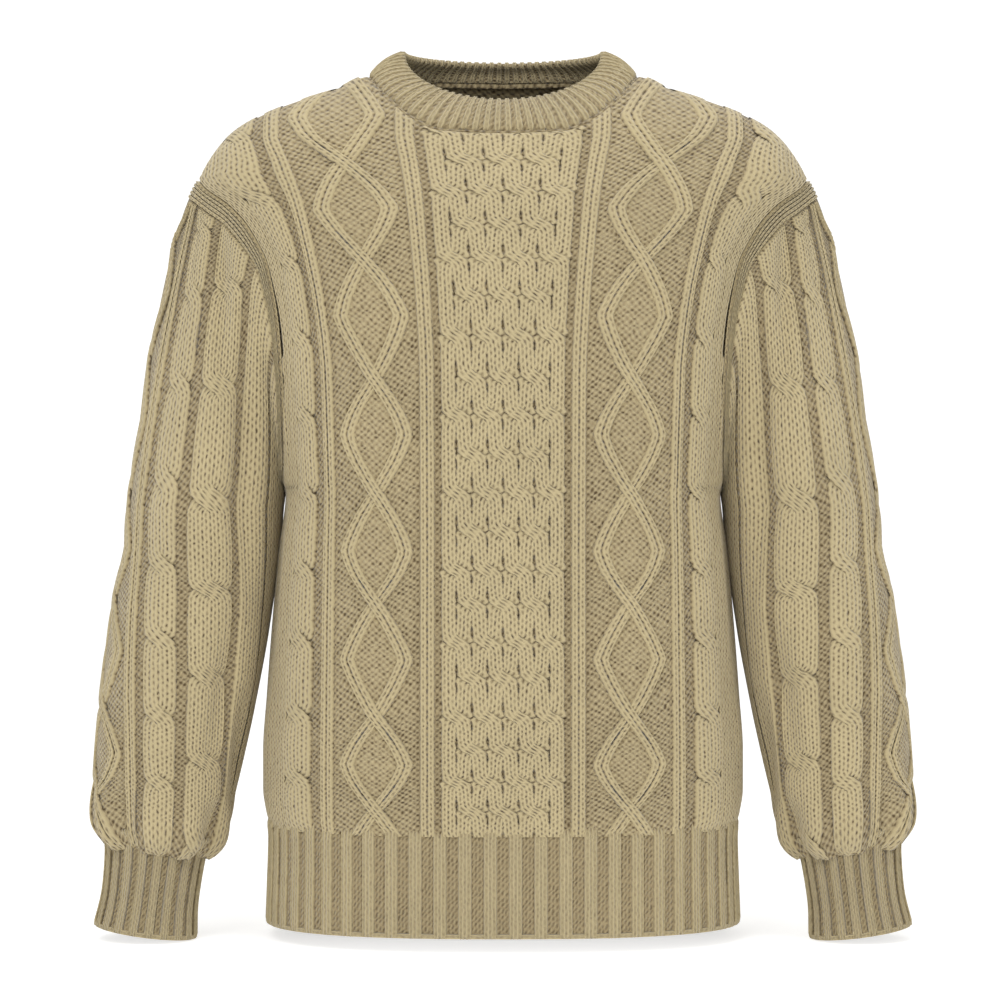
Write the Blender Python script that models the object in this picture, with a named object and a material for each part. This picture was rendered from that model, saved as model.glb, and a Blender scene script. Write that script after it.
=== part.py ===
"""Crew neck cable knit sweater, filled out as on a wearer, with open neck, hem, armholes and cuffs.

The origin is midway between the high shoulder points. The front faces -Y, +Z is up. Sizes are in
millimetres; MM turns them into metres when a mesh is made. Each knitted piece is a wall: its outer face
carries the cables, cords, diamonds and ribs, its inner face is plain.

A panel is drawn in knit coordinates: u runs across the piece from its centre line, z is the height. A
triangulated outline in (u, z) is laid on the worn surface, once for each face of the wall.
"""

import math
from collections import namedtuple

import bmesh
import bpy
import numpy as np
from mathutils.geometry import delaunay_2d_cdt

MM = 0.001

# Walls and seams
WALL = 2.6
RIB_WALL = 3.0
BAND_WALL = 4.0
SEAM_GAP = 0.3
HALF_GAP = SEAM_GAP / 2

# How far the points inside a wall's faces keep from its edges, and over what length relief dies out there
RELIEF_MARGIN = 2.2
PLAIN_MARGIN = 8.0
EDGE_FADE = 8.0
SHOULDER_FADE = 20.0
SEAM_FADE = 14.0

# Body, flat sizes: half the panel, and the widths left at the armhole and at the neck
PANEL_HALF = 260.0
ARMHOLE_HALF = 212.0
NECK_HALF = 83.0
UNDERARM_Z = -335.0
UNDERARM_CURVE_Z = -260.0
HEM_SEAM_Z = -603.0
HEM_Z = -683.0
SECTION_POWER = 2.5
SHOULDER_POWER = 2.2

# Cable layout, across from the panel's centre line
WALE = 6.05
PAIR = 2 * WALE
HONEYCOMB_HALF = 8 * WALE
CORD_HALF = 8.0
INNER_CORD_U = 59.0
OUTER_CORD_U = 142.0
DIAMOND_U = 100.5
DIAMOND_SWING = 24.0
BAND_HALF = 7.5
ROPE_U = 171.5
ROPE_HALF = 15.5
ROPE_SWING = 7.5
DIAMOND_ROWS = 3.0
ROPE_ROWS = 2.0
ROPE_FIRST = 1.0
FIRST_ROW = -3.0
LAST_ROW = 18.75

# How far each pattern stands out of the wall
CORD_RISE = 2.2
STRAND_RISE = 3.0
CROSSING_RISE = 3.8
NEAR_CROSSING_RISE = 2.4
VALLEY_RISE = 0.5
DIAMOND_RISE = 3.0
MOSS_RISE = 0.8
ROPE_RISE = 3.4
RIB_RISE = 2.2
NECK_RIB_RISE = 1.2

# Sleeve, flat sizes and layout from its outer line
SLEEVE_HALF = 200.0
TUBE_TOP_Z = -346.0
CUFF_SEAM_Z = -615.0
CUFF_LENGTH = 74.0
SLEEVE_CORD_W = 40.0
SLEEVE_ROPE_W = 67.0
SLEEVE_CABLE_W = 108.0
SLEEVE_CABLE_HALF = 19.0
SLEEVE_CABLE_SWING = 9.0
SLEEVE_CABLE_ROWS = 2.4
SLEEVE_CABLE_FIRST = 4.4
SLEEVE_ROPE_ROWS = 2.1
SLEEVE_ROPE_FIRST = 4.6
SLEEVE_EDGE_CORD_W = 141.0
SLEEVE_CORD_HALF = 5.5
SLEEVE_FIRST_ROW = -1.0

HEM_RIBS = 24
HEM_MIDDLE_Z = -645.0
CUFF_RIBS = 20
NECK_RIBS = 80

# Shares of the sleeve head's climb that its curve keeps to the arm's line and to the seam's
HEAD_CLIMB = 0.42
HEAD_LEAVE = 0.16
HEAD_LEAN = 0.12

# Gathers over the cuff seam: how many, how deep, and the height they are deepest at
PUCKERS = 9
PUCKER_DEPTH = 1.8
PUCKER_Z = -592.0
PUCKER_REACH = 26.0

# Directions out of the cloth where the seams cross the shoulder line
SHOULDER_OUT = (0.75, 0.65)
NECK_OUT = (0.45, 0.90)

# Body sections by height: half width of the section, its depth to the front and to the back
Section = namedtuple("Section", "z half_width front back")
BODY_SECTIONS = (
    Section(-690, 192, 119, 119),
    Section(-650, 190.5, 118, 118),
    Section(-615, 189.5, 118, 118),
    Section(-603, 190.5, 119, 119),
    Section(-575, 194.5, 122, 122),
    Section(-545, 194.5, 123, 122),
    Section(-500, 191.5, 123, 121),
    Section(-440, 187, 123, 119),
    Section(-380, 181.5, 122, 119),
    Section(-335, 176.0, 122, 120),
    Section(-325, 178.5, 122, 120),
    Section(-300, 181, 122, 121),
    Section(-260, 186, 121, 122),
    Section(-224, 190.5, 120, 122),
    Section(-196, 193.5, 119, 121),
    Section(-171, 198.5, 117, 120),
    Section(-149, 204.5, 114, 118),
    Section(-132, 211.5, 111, 116),
    Section(-116, 219.5, 108, 114),
    Section(-101, 231, 104, 111),
    Section(-86, 247, 99, 108),
    Section(-79, 253, 97, 106),
    Section(-60, 262, 93, 103),
    Section(0, 275, 80, 95),
    Section(40, 280, 72, 88),
)

# Armhole seam by height: its distance from the centre plane, and the panel's flat half width there
Armhole = namedtuple("Armhole", "z x u")
ARMHOLE_SEAM = (
    Armhole(-335, 176.0, 260),
    Armhole(-325, 177.2, 249),
    Armhole(-300, 176.5, 229),
    Armhole(-260, 176.5, 215),
    Armhole(-224, 178, 212),
    Armhole(-196, 180.4, 212),
    Armhole(-171, 184.4, 212),
    Armhole(-149, 189.3, 212),
    Armhole(-132, 197.8, 212),
    Armhole(-116, 208.2, 212),
    Armhole(-101, 222.8, 212),
    Armhole(-86, 243, 212),
    Armhole(-79, 249, 212),
)
ARMHOLE_STEPS_Z = (-335, -325, -300, -272, -244, -216, -190, -168, -148, -131, -115, -101, -89, -79)

# Shoulder line: height of the garment's top over each distance from the centre, and how far below it
# the cloth takes to come out to its full depth
Shoulder = namedtuple("Shoulder", "x z drop")
SHOULDER_LINE = (
    Shoulder(0, 38, 150),
    Shoulder(60, 27, 150),
    Shoulder(90, 15, 145),
    Shoulder(111, 5, 140),
    Shoulder(162, -11, 125),
    Shoulder(198, -25, 105),
    Shoulder(221, -39, 90),
    Shoulder(237, -57, 80),
    Shoulder(249, -79, 75),
    Shoulder(262, -120, 75),
    Shoulder(290, -200, 75),
)

# Neck seam heights by distance from the centre
NeckLine = namedtuple("NeckLine", "x front back")
NECK_LINE = (
    NeckLine(0, -49.7, 8),
    NeckLine(50, -46.8, 8),
    NeckLine(73, -35.9, 7),
    NeckLine(88, -22.9, 6.5),
    NeckLine(102, -8.0, 6),
    NeckLine(111, 5, 5),
)

# Pattern rows by height, and how much wider than flat the cloth is stretched there
Course = namedtuple("Course", "row z stretch")
COURSES = (
    Course(-3, 10, 1.34),
    Course(-1, -48, 1.33),
    Course(0, -73, 1.26),
    Course(1, -99, 1.19),
    Course(3, -152, 1.10),
    Course(4, -181, 1.06),
    Course(6, -245, 1.01),
    Course(11, -396, 1.0),
    Course(15, -510, 1.0),
    Course(18, -584, 1.0),
    Course(19, -610, 1.0),
)

# Soft folds of the body: where each runs, how wide it is and how far it goes in
Fold = namedtuple("Fold", "u top bottom width depth")
BODY_FOLDS = (
    Fold(206, -150, -330, 9, 3.0),
    Fold(228, -330, -520, 16, 3.0),
    Fold(205, -430, -590, 18, 2.5),
)

# Sleeve tube by height: its centre, half width and half depth, tilt of the ring and turn of the cloth
Ring = namedtuple("Ring", "z x y half_width half_depth tilt turn")
SLEEVE_RINGS = (
    Ring(-346, 245.0, -2, 64.0, 67, 0.0, 1),
    Ring(-380, 248.5, -3, 64.5, 66, 2.0, 5),
    Ring(-440, 256.0, -6, 65.0, 65, 4.0, 13),
    Ring(-505, 266.5, -11, 63.5, 62, 6.0, 22),
    Ring(-545, 273.0, -15, 61.5, 59, 7.0, 27),
    Ring(-570, 277.0, -18, 59.5, 56, 7.5, 31),
    Ring(-590, 280.0, -20, 56.0, 52, 8.0, 33),
    Ring(-603, 282.0, -21, 53.0, 48, 8.0, 35),
    Ring(-611, 283.5, -22, 47.0, 42, 8.0, 36),
    Ring(-615, 284.2, -22, 42.5, 38, 8.0, 36),
    Ring(-632, 286.4, -24, 39.0, 34.5, 8.0, 36),
    Ring(-660, 290.0, -27, 38.5, 34.5, 8.0, 36),
    Ring(-692, 294.2, -30, 41.5, 38, 8.0, 36),
)

# Where each sleeve column meets the armhole: the share of the seam from shoulder to underarm
SleeveHead = namedtuple("SleeveHead", "w share")
SLEEVE_HEAD = (
    SleeveHead(0, 0.0),
    SleeveHead(50, 0.06),
    SleeveHead(100, 0.19),
    SleeveHead(133, 0.34),
    SleeveHead(150, 0.46),
    SleeveHead(167, 0.64),
    SleeveHead(183, 0.83),
    SleeveHead(200, 1.0),
)

# Neck seam's reach to the sides, front and back
NECK_SIDE = 111.0
NECK_FRONT = 80.0
NECK_BACK = 66.0

# Neckband rim: half width, reach to the front and back, and its heights
RIM_HALF_WIDTH = 81.0
RIM_FRONT = 68.0
RIM_BACK = 50.0
RIM_FRONT_Z = -20.5
RIM_SIDE_Z = 27.0
RIM_BACK_Z = 25.0
BAND_BULGE = 3.6
RIM_STEPS = 40

# Steps of the outlines: knit columns along the neck and the shoulder, rows up the side, steps at the hem
NECK_STEPS_U = (0, 14, 28, 42, 54, 64, 72, 78, NECK_HALF)
SHOULDER_STEPS_U = (202, 192, 182, ROPE_U, 161, 150, 139, 128, 117, 105, 94)
SHOULDER_DROPS = (3.5, 11.0)
PATTERN_DROP = 17.0
SIDE_ROWS = (18, 17, 16, 15, 14, 13, 12, 11, 10)
HEM_STEPS = 26
RING_STEPS = 18

YARN = (0.56, 0.45, 0.28)
COLLECTION = "cable_knit_sweater"


# ---------------------------------------------------------------- small helpers


def table(rows, key, value):
    """A smooth monotone curve through two columns of a table."""
    ordered = sorted(rows, key=lambda row: getattr(row, key))
    xs = np.array([getattr(row, key) for row in ordered], float)
    ys = np.array([getattr(row, value) for row in ordered], float)
    steps = np.diff(xs)
    slopes = np.diff(ys) / steps
    tangents = np.zeros(len(xs))
    tangents[0], tangents[-1] = slopes[0], slopes[-1]
    for i in range(1, len(xs) - 1):
        if slopes[i - 1] * slopes[i] > 0:
            before = 2 * steps[i] + steps[i - 1]
            after = steps[i] + 2 * steps[i - 1]
            tangents[i] = (before + after) / (before / slopes[i - 1] + after / slopes[i])

    def curve(x):
        x = np.clip(x, xs[0], xs[-1])
        i = int(np.clip(np.searchsorted(xs, x) - 1, 0, len(xs) - 2))
        t = (x - xs[i]) / steps[i]
        rest = 1 - t
        return (
            ys[i] * (1 + 2 * t) * rest**2
            + ys[i + 1] * (1 + 2 * rest) * t**2
            + steps[i] * t * rest * (tangents[i] * rest - tangents[i + 1] * t)
        )

    return curve


def unit(v):
    return v / max(np.linalg.norm(v), 1e-9)


def hump(x):
    """1 in the middle, falling to 0 at x = 1."""
    return max(0.0, 1 - x * x)


def fade(x):
    """0 below x = 0, 1 above x = 1, smooth between."""
    x = min(max(x, 0.0), 1.0)
    return x * x * (3 - 2 * x)


def wave(x):
    """0 at whole numbers, 1 halfway between them, straight in between."""
    return 1 - abs(2 * (x % 1) - 1)


# ---------------------------------------------------------------- body surface

half_width_at = table(BODY_SECTIONS, "z", "half_width")
depth_at = {-1: table(BODY_SECTIONS, "z", "front"), 1: table(BODY_SECTIONS, "z", "back")}
seam_x_at = table(ARMHOLE_SEAM, "z", "x")
seam_u_at = table(ARMHOLE_SEAM, "z", "u")
shoulder_z_at = table(SHOULDER_LINE, "x", "z")
shoulder_drop_at = table(SHOULDER_LINE, "x", "drop")
neck_z_at = {-1: table(NECK_LINE, "x", "front"), 1: table(NECK_LINE, "x", "back")}
row_at = table(COURSES, "z", "row")
z_of_row = table(COURSES, "row", "z")
stretch_at = table(COURSES, "z", "stretch")

QUARTER = np.linspace(0, math.pi / 2, 121)


def quarter_section(half_width, depth):
    """A quarter of a body section as distances along it and the matching x."""
    xs = half_width * np.sin(QUARTER) ** (2 / SECTION_POWER)
    ys = depth * np.cos(QUARTER) ** (2 / SECTION_POWER)
    lengths = np.concatenate([[0], np.cumsum(np.hypot(np.diff(xs), np.diff(ys)))])
    return lengths, xs


def panel_edge(z):
    """The panel's flat half width and its edge's x at a height."""
    if z <= UNDERARM_Z:
        return PANEL_HALF, half_width_at(z)
    return seam_u_at(z), seam_x_at(z)


def body_x(side, u, z):
    """Distance from the centre plane of knit column u at height z, along the curved section."""
    lengths, xs = quarter_section(half_width_at(z), depth_at[side](z))
    edge_u, edge_x = panel_edge(z)
    edge_length = np.interp(edge_x, xs, lengths)
    even_u = min(OUTER_CORD_U, edge_u)
    stretch = stretch_at(z)
    across = abs(u)
    if across <= even_u:
        length = across * stretch
    else:
        length = even_u * stretch + (across - even_u) / (edge_u - even_u) * (edge_length - even_u * stretch)
    return math.copysign(np.interp(length, lengths, xs), u)


def body_base(side, u, z):
    """A point of the worn body surface, side -1 the front and 1 the back, before any fold."""
    x = body_x(side, u, z)
    across = min(abs(x) / half_width_at(z), 1.0)
    y = depth_at[side](z) * (1 - across**SECTION_POWER) ** (1 / SECTION_POWER)
    below = (shoulder_z_at(abs(x)) - z) / shoulder_drop_at(abs(x))
    below = min(max(below, 0.0), 1.0)
    y *= (1 - (1 - below) ** SHOULDER_POWER) ** (1 / SHOULDER_POWER)
    return np.array([x, side * y, z])


def surface_normal(surface, u, z, step=1.5):
    """Outward normal of a surface given in knit coordinates."""
    across = surface(u + step, z) - surface(u - step, z)
    up = surface(u, z + step) - surface(u, z - step)
    return unit(np.cross(across, up))


def body_normal(side, u, z):
    edge_u, _ = panel_edge(z)
    inside_u = math.copysign(min(abs(u), edge_u - 2), u)
    z = min(z, top_z(side, abs(inside_u)) - 2)
    normal = surface_normal(lambda a, b: body_base(side, a, b), inside_u, z)
    return normal if side < 0 else -normal


def fold_depth(u, z):
    depth = 0.0
    for fold in BODY_FOLDS:
        along = (fold.top - z) / (fold.top - fold.bottom)
        if 0 < along < 1:
            depth += fold.depth * math.sin(math.pi * along) * hump((abs(u) - fold.u) / fold.width)
    return depth


def settle(edge_z, side, u, z):
    """The height at which column u meets an edge given by its heights over x."""
    for _ in range(12):
        z = 0.5 * (z + edge_z(abs(body_x(side, u, z))))
    return z


def shoulder_edge(side, u):
    z = settle(shoulder_z_at, side, u, -30.0)
    return min(z, shoulder_z_at(abs(body_x(side, u, z))))


def neck_edge(side, u):
    return settle(neck_z_at[side], side, u, -20.0)


def top_z(side, u):
    """Height of the panel's top edge over column u."""
    if abs(u) < NECK_HALF - 1e-6:
        return neck_edge(side, u)
    if abs(u) <= ARMHOLE_HALF:
        return shoulder_edge(side, u)
    return UNDERARM_CURVE_Z if abs(u) < PANEL_HALF else UNDERARM_Z


# ---------------------------------------------------------------- cable relief


def honeycomb_rise(u, row):
    """Pairs of wales that cross two over two, at alternate pair edges from row to row."""
    edge = round(u / PAIR)
    off = abs((row - edge % 2 + 1) % 2 - 1)
    if abs(edge) * PAIR >= HONEYCOMB_HALF:
        at_edge = VALLEY_RISE
    else:
        at_edge = VALLEY_RISE + (CROSSING_RISE - VALLEY_RISE) * max(0.0, 1 - 2 * off)
    to_whole_row = abs(row - round(row)) * 2
    at_middle = NEAR_CROSSING_RISE + (STRAND_RISE - NEAR_CROSSING_RISE) * to_whole_row
    share = math.cos(math.pi * u / PAIR) ** 2
    return at_edge * share + at_middle * (1 - share)


def diamond_rise(u, row, rows=DIAMOND_ROWS, swing=DIAMOND_SWING):
    """Two bands that cross every few rows, with moss stitch inside each diamond."""
    offset = swing * wave(row / rows)
    band = hump(min(abs(u - offset), abs(u + offset)) / BAND_HALF)
    moss = MOSS_RISE * fade((offset - BAND_HALF - abs(u)) / 4)
    return max(DIAMOND_RISE * band, moss)


def rope_rise(u, row, half, swing, rows, first):
    """A cable of two strands that cross every few rows."""
    offset = swing * wave((row - first) / rows)
    strand = hump((abs(u) - offset) / (half - swing))
    return ROPE_RISE * strand if abs(u) < half else 0.0


def body_rise(u, z):
    row = row_at(z)
    across = abs(u)
    if across <= HONEYCOMB_HALF + 1e-6:
        return honeycomb_rise(u, row)
    cords = max(hump((across - INNER_CORD_U) / CORD_HALF), hump((across - OUTER_CORD_U) / CORD_HALF))
    if cords > 0:
        return CORD_RISE * cords
    if abs(across - DIAMOND_U) < DIAMOND_SWING + BAND_HALF + 2:
        return diamond_rise(across - DIAMOND_U, row)
    return rope_rise(across - ROPE_U, row, ROPE_HALF, ROPE_SWING, ROPE_ROWS, ROPE_FIRST)


def sleeve_rise(w, z):
    """Diamonds on the outer line, then cord, rope, wide cable and edge cord on each side of it."""
    row = row_at(z)
    across = abs(w)
    if across < SLEEVE_CORD_W - CORD_HALF:
        return diamond_rise(w, row)
    cords = max(hump((across - SLEEVE_CORD_W) / CORD_HALF), hump((across - SLEEVE_EDGE_CORD_W) / CORD_HALF))
    if cords > 0:
        return CORD_RISE * cords
    if abs(across - SLEEVE_ROPE_W) < ROPE_HALF:
        return rope_rise(
            across - SLEEVE_ROPE_W, row, ROPE_HALF, ROPE_SWING, SLEEVE_ROPE_ROWS, SLEEVE_ROPE_FIRST
        )
    off = across - SLEEVE_CABLE_W
    return rope_rise(off, row, SLEEVE_CABLE_HALF, SLEEVE_CABLE_SWING, SLEEVE_CABLE_ROWS, SLEEVE_CABLE_FIRST)


# ---------------------------------------------------------------- seams


SeamPoint = namedtuple("SeamPoint", "point outward across")


def seam_frame(point, before, after, outward, toward):
    """outward is the shared direction through the wall, across runs over the seam, towards `toward`."""
    along = unit(after - before)
    outward = unit(outward - along * outward.dot(along))
    across = unit(np.cross(along, outward))
    if across.dot(toward) < 0:
        across = -across
    return SeamPoint(point, outward, across)


def armhole_curve(side, left):
    """Points of the armhole seam from underarm to shoulder on one side of the body, left is +X."""
    points = []
    for z in ARMHOLE_STEPS_Z:
        u, _ = panel_edge(z)
        u *= left
        points.append(body_base(side, u, z))
    points[0][1] = 0.0
    points[-1][1] = 0.0
    return points


def armhole_frames(left):
    """Seam points round a whole armhole: front from shoulder to underarm, then back up to the shoulder."""
    front = armhole_curve(-1, left)[::-1]
    back = armhole_curve(1, left)[1:-1]
    loop = front + back
    sideways = np.array([left * 1.0, 0, 0])
    normals = [body_normal(-1, left * panel_edge(z)[0], z) for z in ARMHOLE_STEPS_Z[::-1]]
    normals += [body_normal(1, left * panel_edge(z)[0], z) for z in ARMHOLE_STEPS_Z[1:-1]]
    top, bottom = 0, len(ARMHOLE_STEPS_Z) - 1
    normals[top] = unit(np.array([left * SHOULDER_OUT[0], 0, SHOULDER_OUT[1]]))
    frames = []
    for i, point in enumerate(loop):
        before, after = loop[i - 1], loop[(i + 1) % len(loop)]
        away = unit(sleeve_ring_point(left, head_w(i, len(loop)), TUBE_TOP_Z) - point)
        toward = away + sideways
        sleeve_out = unit(np.cross(unit(after - before), away)) * left
        sleeve_share = 0.3 if i == top else 0.5
        outward = normals[i] * (1 - sleeve_share) + sleeve_out * sleeve_share
        if i == bottom:
            outward, toward = np.array([0, 0, -1.0]), sideways
        frames.append(seam_frame(point, before, after, outward, toward))
    return frames


def neck_frames():
    """Seam points round the neck, from the right high shoulder point over the front to the left, and back."""
    spots = [(-1, -u) for u in NECK_STEPS_U[::-1]] + [(-1, u) for u in NECK_STEPS_U[1:]]
    spots += [(1, u) for u in NECK_STEPS_U[-2:0:-1]] + [(1, 0)] + [(1, -u) for u in NECK_STEPS_U[1:-1]]
    loop, normals = [], []
    for side, u in spots:
        point = body_base(side, u, top_z(side, u))
        if abs(u) == NECK_HALF:
            point[1] = 0.0
        loop.append(point)
        normal = body_normal(side, u, point[2])
        if abs(u) == NECK_HALF:
            normal = unit(np.array([math.copysign(NECK_OUT[0], u), 0, NECK_OUT[1]]))
        normals.append(normal)
    frames = []
    for i, point in enumerate(loop):
        before, after = loop[i - 1], loop[(i + 1) % len(loop)]
        rise = rim_point(neck_turn(point)) - point
        band_out = unit(np.cross(unit(after - before), unit(rise)))
        if band_out.dot(normals[i]) < 0:
            band_out = -band_out
        frames.append(seam_frame(point, before, after, normals[i] + band_out, rise))
    return frames


# ---------------------------------------------------------------- sleeve surface

ring_curves = {name: table(SLEEVE_RINGS, "z", name) for name in Ring._fields[1:]}
w_of_share = table(SLEEVE_HEAD, "share", "w")


def armhole_lengths(loop):
    """Share of the way from shoulder to underarm of each point of half an armhole loop."""
    steps = [np.linalg.norm(b - a) for a, b in zip(loop, loop[1:], strict=False)]
    lengths = np.concatenate([[0], np.cumsum(steps)])
    return lengths / lengths[-1]


def head_w(i, count):
    """The sleeve column that meets seam point i of the loop, positive on the front half."""
    half = count // 2
    if i <= half:
        shares = armhole_lengths(armhole_curve(-1, 1)[::-1])
        return float(w_of_share(shares[i]))
    shares = armhole_lengths(armhole_curve(1, 1)[::-1])
    return -float(w_of_share(shares[count - i]))


def sleeve_ring_point(left, w, z):
    """A point of the sleeve tube: w = 0 on the outer line, positive to the front."""
    ring = {name: curve(z) for name, curve in ring_curves.items()}
    angle = math.pi * w / SLEEVE_HALF + math.radians(ring["turn"])
    out = ring["half_width"] * math.cos(angle)
    x = ring["x"] + out
    y = ring["y"] - ring["half_depth"] * math.sin(angle)
    return np.array([left * x, y, z + out * math.tan(math.radians(ring["tilt"]))])


class Sleeve:
    """The sleeve's surface: a tube below the underarm, and above it columns that bend to the armhole."""

    def __init__(self, left):
        self.left = left
        self.frames = armhole_frames(left)
        count = len(self.frames)
        half = count // 2
        self.head_w = [head_w(i, count) for i in range(count)]
        order = list(range(half, count)) + list(range(0, half + 1))
        ws = [self.head_w[i] for i in order]
        ws[0] = -SLEEVE_HALF
        ws[-1] = SLEEVE_HALF
        self.seam_w = np.array(ws)
        self.seam = [self.frames[i] for i in order]

    def seam_at(self, w):
        """The seam polyline's point and directions over column w."""
        i = int(np.clip(np.searchsorted(self.seam_w, w) - 1, 0, len(self.seam_w) - 2))
        t = (w - self.seam_w[i]) / (self.seam_w[i + 1] - self.seam_w[i])
        a, b = self.seam[i], self.seam[i + 1]
        return SeamPoint(*(p * (1 - t) + q * t for p, q in zip(a, b, strict=True)))

    def top_z(self, w):
        """Height in knit coordinates of the sleeve head over column w."""
        reach = np.linalg.norm(self.seam_at(w).point - sleeve_ring_point(self.left, w, TUBE_TOP_Z))
        return TUBE_TOP_Z + max(reach, 6.0)

    def point(self, w, z):
        w = (w + SLEEVE_HALF) % (2 * SLEEVE_HALF) - SLEEVE_HALF
        if z <= TUBE_TOP_Z:
            return sleeve_ring_point(self.left, w, z)
        seam = self.seam_at(w)
        start = sleeve_ring_point(self.left, w, TUBE_TOP_Z)
        reach = self.top_z(w) - TUBE_TOP_Z
        t = min((z - TUBE_TOP_Z) / reach, 1.0)
        climb = unit(np.array([-HEAD_LEAN * self.left, 0, 1.0])) * reach * HEAD_CLIMB
        leave = seam.across * reach * HEAD_LEAVE
        rest = 1 - t
        return (
            start * rest**3
            + (start + climb) * 3 * t * rest**2
            + (seam.point + leave) * 3 * t**2 * rest
            + seam.point * t**3
        )

    def normal(self, w, z):
        z = min(z, self.top_z(w) - 2)
        normal = surface_normal(self.point, w, z)
        return normal if self.left < 0 else -normal


# ---------------------------------------------------------------- walls


def triangulate(outline, points, lines=()):
    """Triangles over an outline and more points inside it, with every line kept as edges."""
    coords = list(outline) + list(points)
    count = len(outline)
    edges = [(i, (i + 1) % count) for i in range(count)]
    edges += [(a + count, b + count) for a, b in lines]
    found = delaunay_2d_cdt(coords, edges, [list(range(count))], 1, 1e-4)
    faces, origins = found[2], found[3]
    if not all(origins):
        raise RuntimeError("two lines of a wall cross between their points")
    return [[origins[v][0] for v in face] for face in faces]


def lay_lines(lines, outline, margin):
    """Points and edges of the lines' stretches that lie inside an outline, each point once."""
    points, edges, index = [], [], {}
    for line in lines:
        last = None
        for u, z in line:
            key = (round(u, 3), round(z, 3))
            if key not in index:
                if not inside(outline, key, margin):
                    last = None
                    continue
                index[key] = len(points)
                points.append(key)
            here = index[key]
            if last is not None and last != here:
                edges.append((last, here))
            last = here
    return points, edges


def edge_distance(outline, point):
    """Distance in knit coordinates from a point to the nearest edge of an outline."""
    starts = np.array(outline, float)
    runs = np.roll(starts, -1, axis=0) - starts
    offsets = np.array(point, float) - starts
    along = (offsets * runs).sum(1) / np.maximum((runs * runs).sum(1), 1e-9)
    gaps = offsets - runs * np.clip(along, 0, 1)[:, None]
    return float(np.sqrt((gaps * gaps).sum(1)).min())


def inside(outline, point, margin):
    """True if a point lies inside an outline, a margin away from its edges."""
    x, y = point
    hit = False
    count = len(outline)
    for i in range(count):
        (ax, ay), (bx, by) = outline[i], outline[(i + 1) % count]
        if (ay > y) != (by > y) and x < (bx - ax) * (y - ay) / (by - ay) + ax:
            hit = not hit
    return hit and edge_distance(outline, point) >= margin


def build_wall(name, outline, edge, relief_lines, plain_points, outer, inner, closed_tube=False):
    """Makes a wall from knit coordinates.

    edge(i) gives the outer and inner corner of outline point i, outer(u, z) and inner(u, z) the rest.
    A closed tube's two side edges are welded together instead of closed.
    """
    flat = [(p[0], p[1]) for p in outline]
    relief, kept_edges = lay_lines(relief_lines, flat, RELIEF_MARGIN)
    plain = [p for p in plain_points if inside(flat, p, PLAIN_MARGIN)]
    mesh = bmesh.new()
    corners = [edge(i) for i in range(len(outline))]
    outer_rim = [mesh.verts.new(pair[0] * MM) for pair in corners]
    inner_rim = [mesh.verts.new(pair[1] * MM) for pair in corners]
    outer_all = outer_rim + [mesh.verts.new(outer(*p) * MM) for p in relief]
    inner_all = inner_rim + [mesh.verts.new(inner(*p) * MM) for p in plain]
    for face in triangulate(flat, relief, kept_edges):
        mesh.faces.new([outer_all[v] for v in face])
    for face in triangulate(flat, plain):
        mesh.faces.new([inner_all[v] for v in reversed(face)])
    count = len(outline)
    for i in range(count):
        j = (i + 1) % count
        on_cut = closed_tube and outline[i][2] == "cut" and outline[j][2] == "cut"
        if on_cut and outline[i][0] == outline[j][0]:
            continue
        mesh.faces.new([outer_rim[j], outer_rim[i], inner_rim[i], inner_rim[j]])
    if closed_tube:
        bmesh.ops.remove_doubles(mesh, verts=mesh.verts, dist=2e-6)
    bmesh.ops.triangulate(mesh, faces=mesh.faces)
    bmesh.ops.recalc_face_normals(mesh, faces=mesh.faces)
    if mesh.calc_volume(signed=True) < 0:
        bmesh.ops.reverse_faces(mesh, faces=mesh.faces)
    data = bpy.data.meshes.new(name)
    mesh.to_mesh(data)
    mesh.free()
    piece = bpy.data.objects.new(name, data)
    bpy.data.collections[COLLECTION].objects.link(piece)
    data.shade_smooth()
    data.set_sharp_from_angle(angle=math.radians(50))
    data.materials.append(yarn_material())
    return piece


def yarn_material():
    material = bpy.data.materials.get("wool_yarn")
    if material is None:
        material = bpy.data.materials.new("wool_yarn")
        material.use_nodes = True
        shader = material.node_tree.nodes["Principled BSDF"]
        shader.inputs["Base Color"].default_value = (*YARN, 1)
        shader.inputs["Roughness"].default_value = 0.95
        shader.inputs["Metallic"].default_value = 0.0
    return material


# ---------------------------------------------------------------- body panels


def rows_between(step, first=FIRST_ROW, last=LAST_ROW):
    """Pattern rows a step apart, all of them multiples of it."""
    start = math.ceil(first / step)
    return [k * step for k in range(start, math.floor(last / step) + 1)]


def honeycomb_lines():
    """Each pair's path from crossing to crossing, and the edges between pairs."""
    lines = []
    for pair in range(-4, 4):
        middle = (pair + 0.5) * PAIR
        path = []
        for row in rows_between(0.5):
            edge = pair if (pair - row) % 2 == 0 else pair + 1
            if row % 1 or abs(edge) * PAIR >= HONEYCOMB_HALF:
                path.append((middle, row))
            else:
                path.append((edge * PAIR, row))
        lines.append(path)
    for k in range(-8, 9):
        if abs(k) == 8:
            lines.append([(k * WALE, row) for row in rows_between(0.5)])
        else:
            lines += [[(k * WALE, row)] for row in rows_between(0.5)]
    return lines


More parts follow.
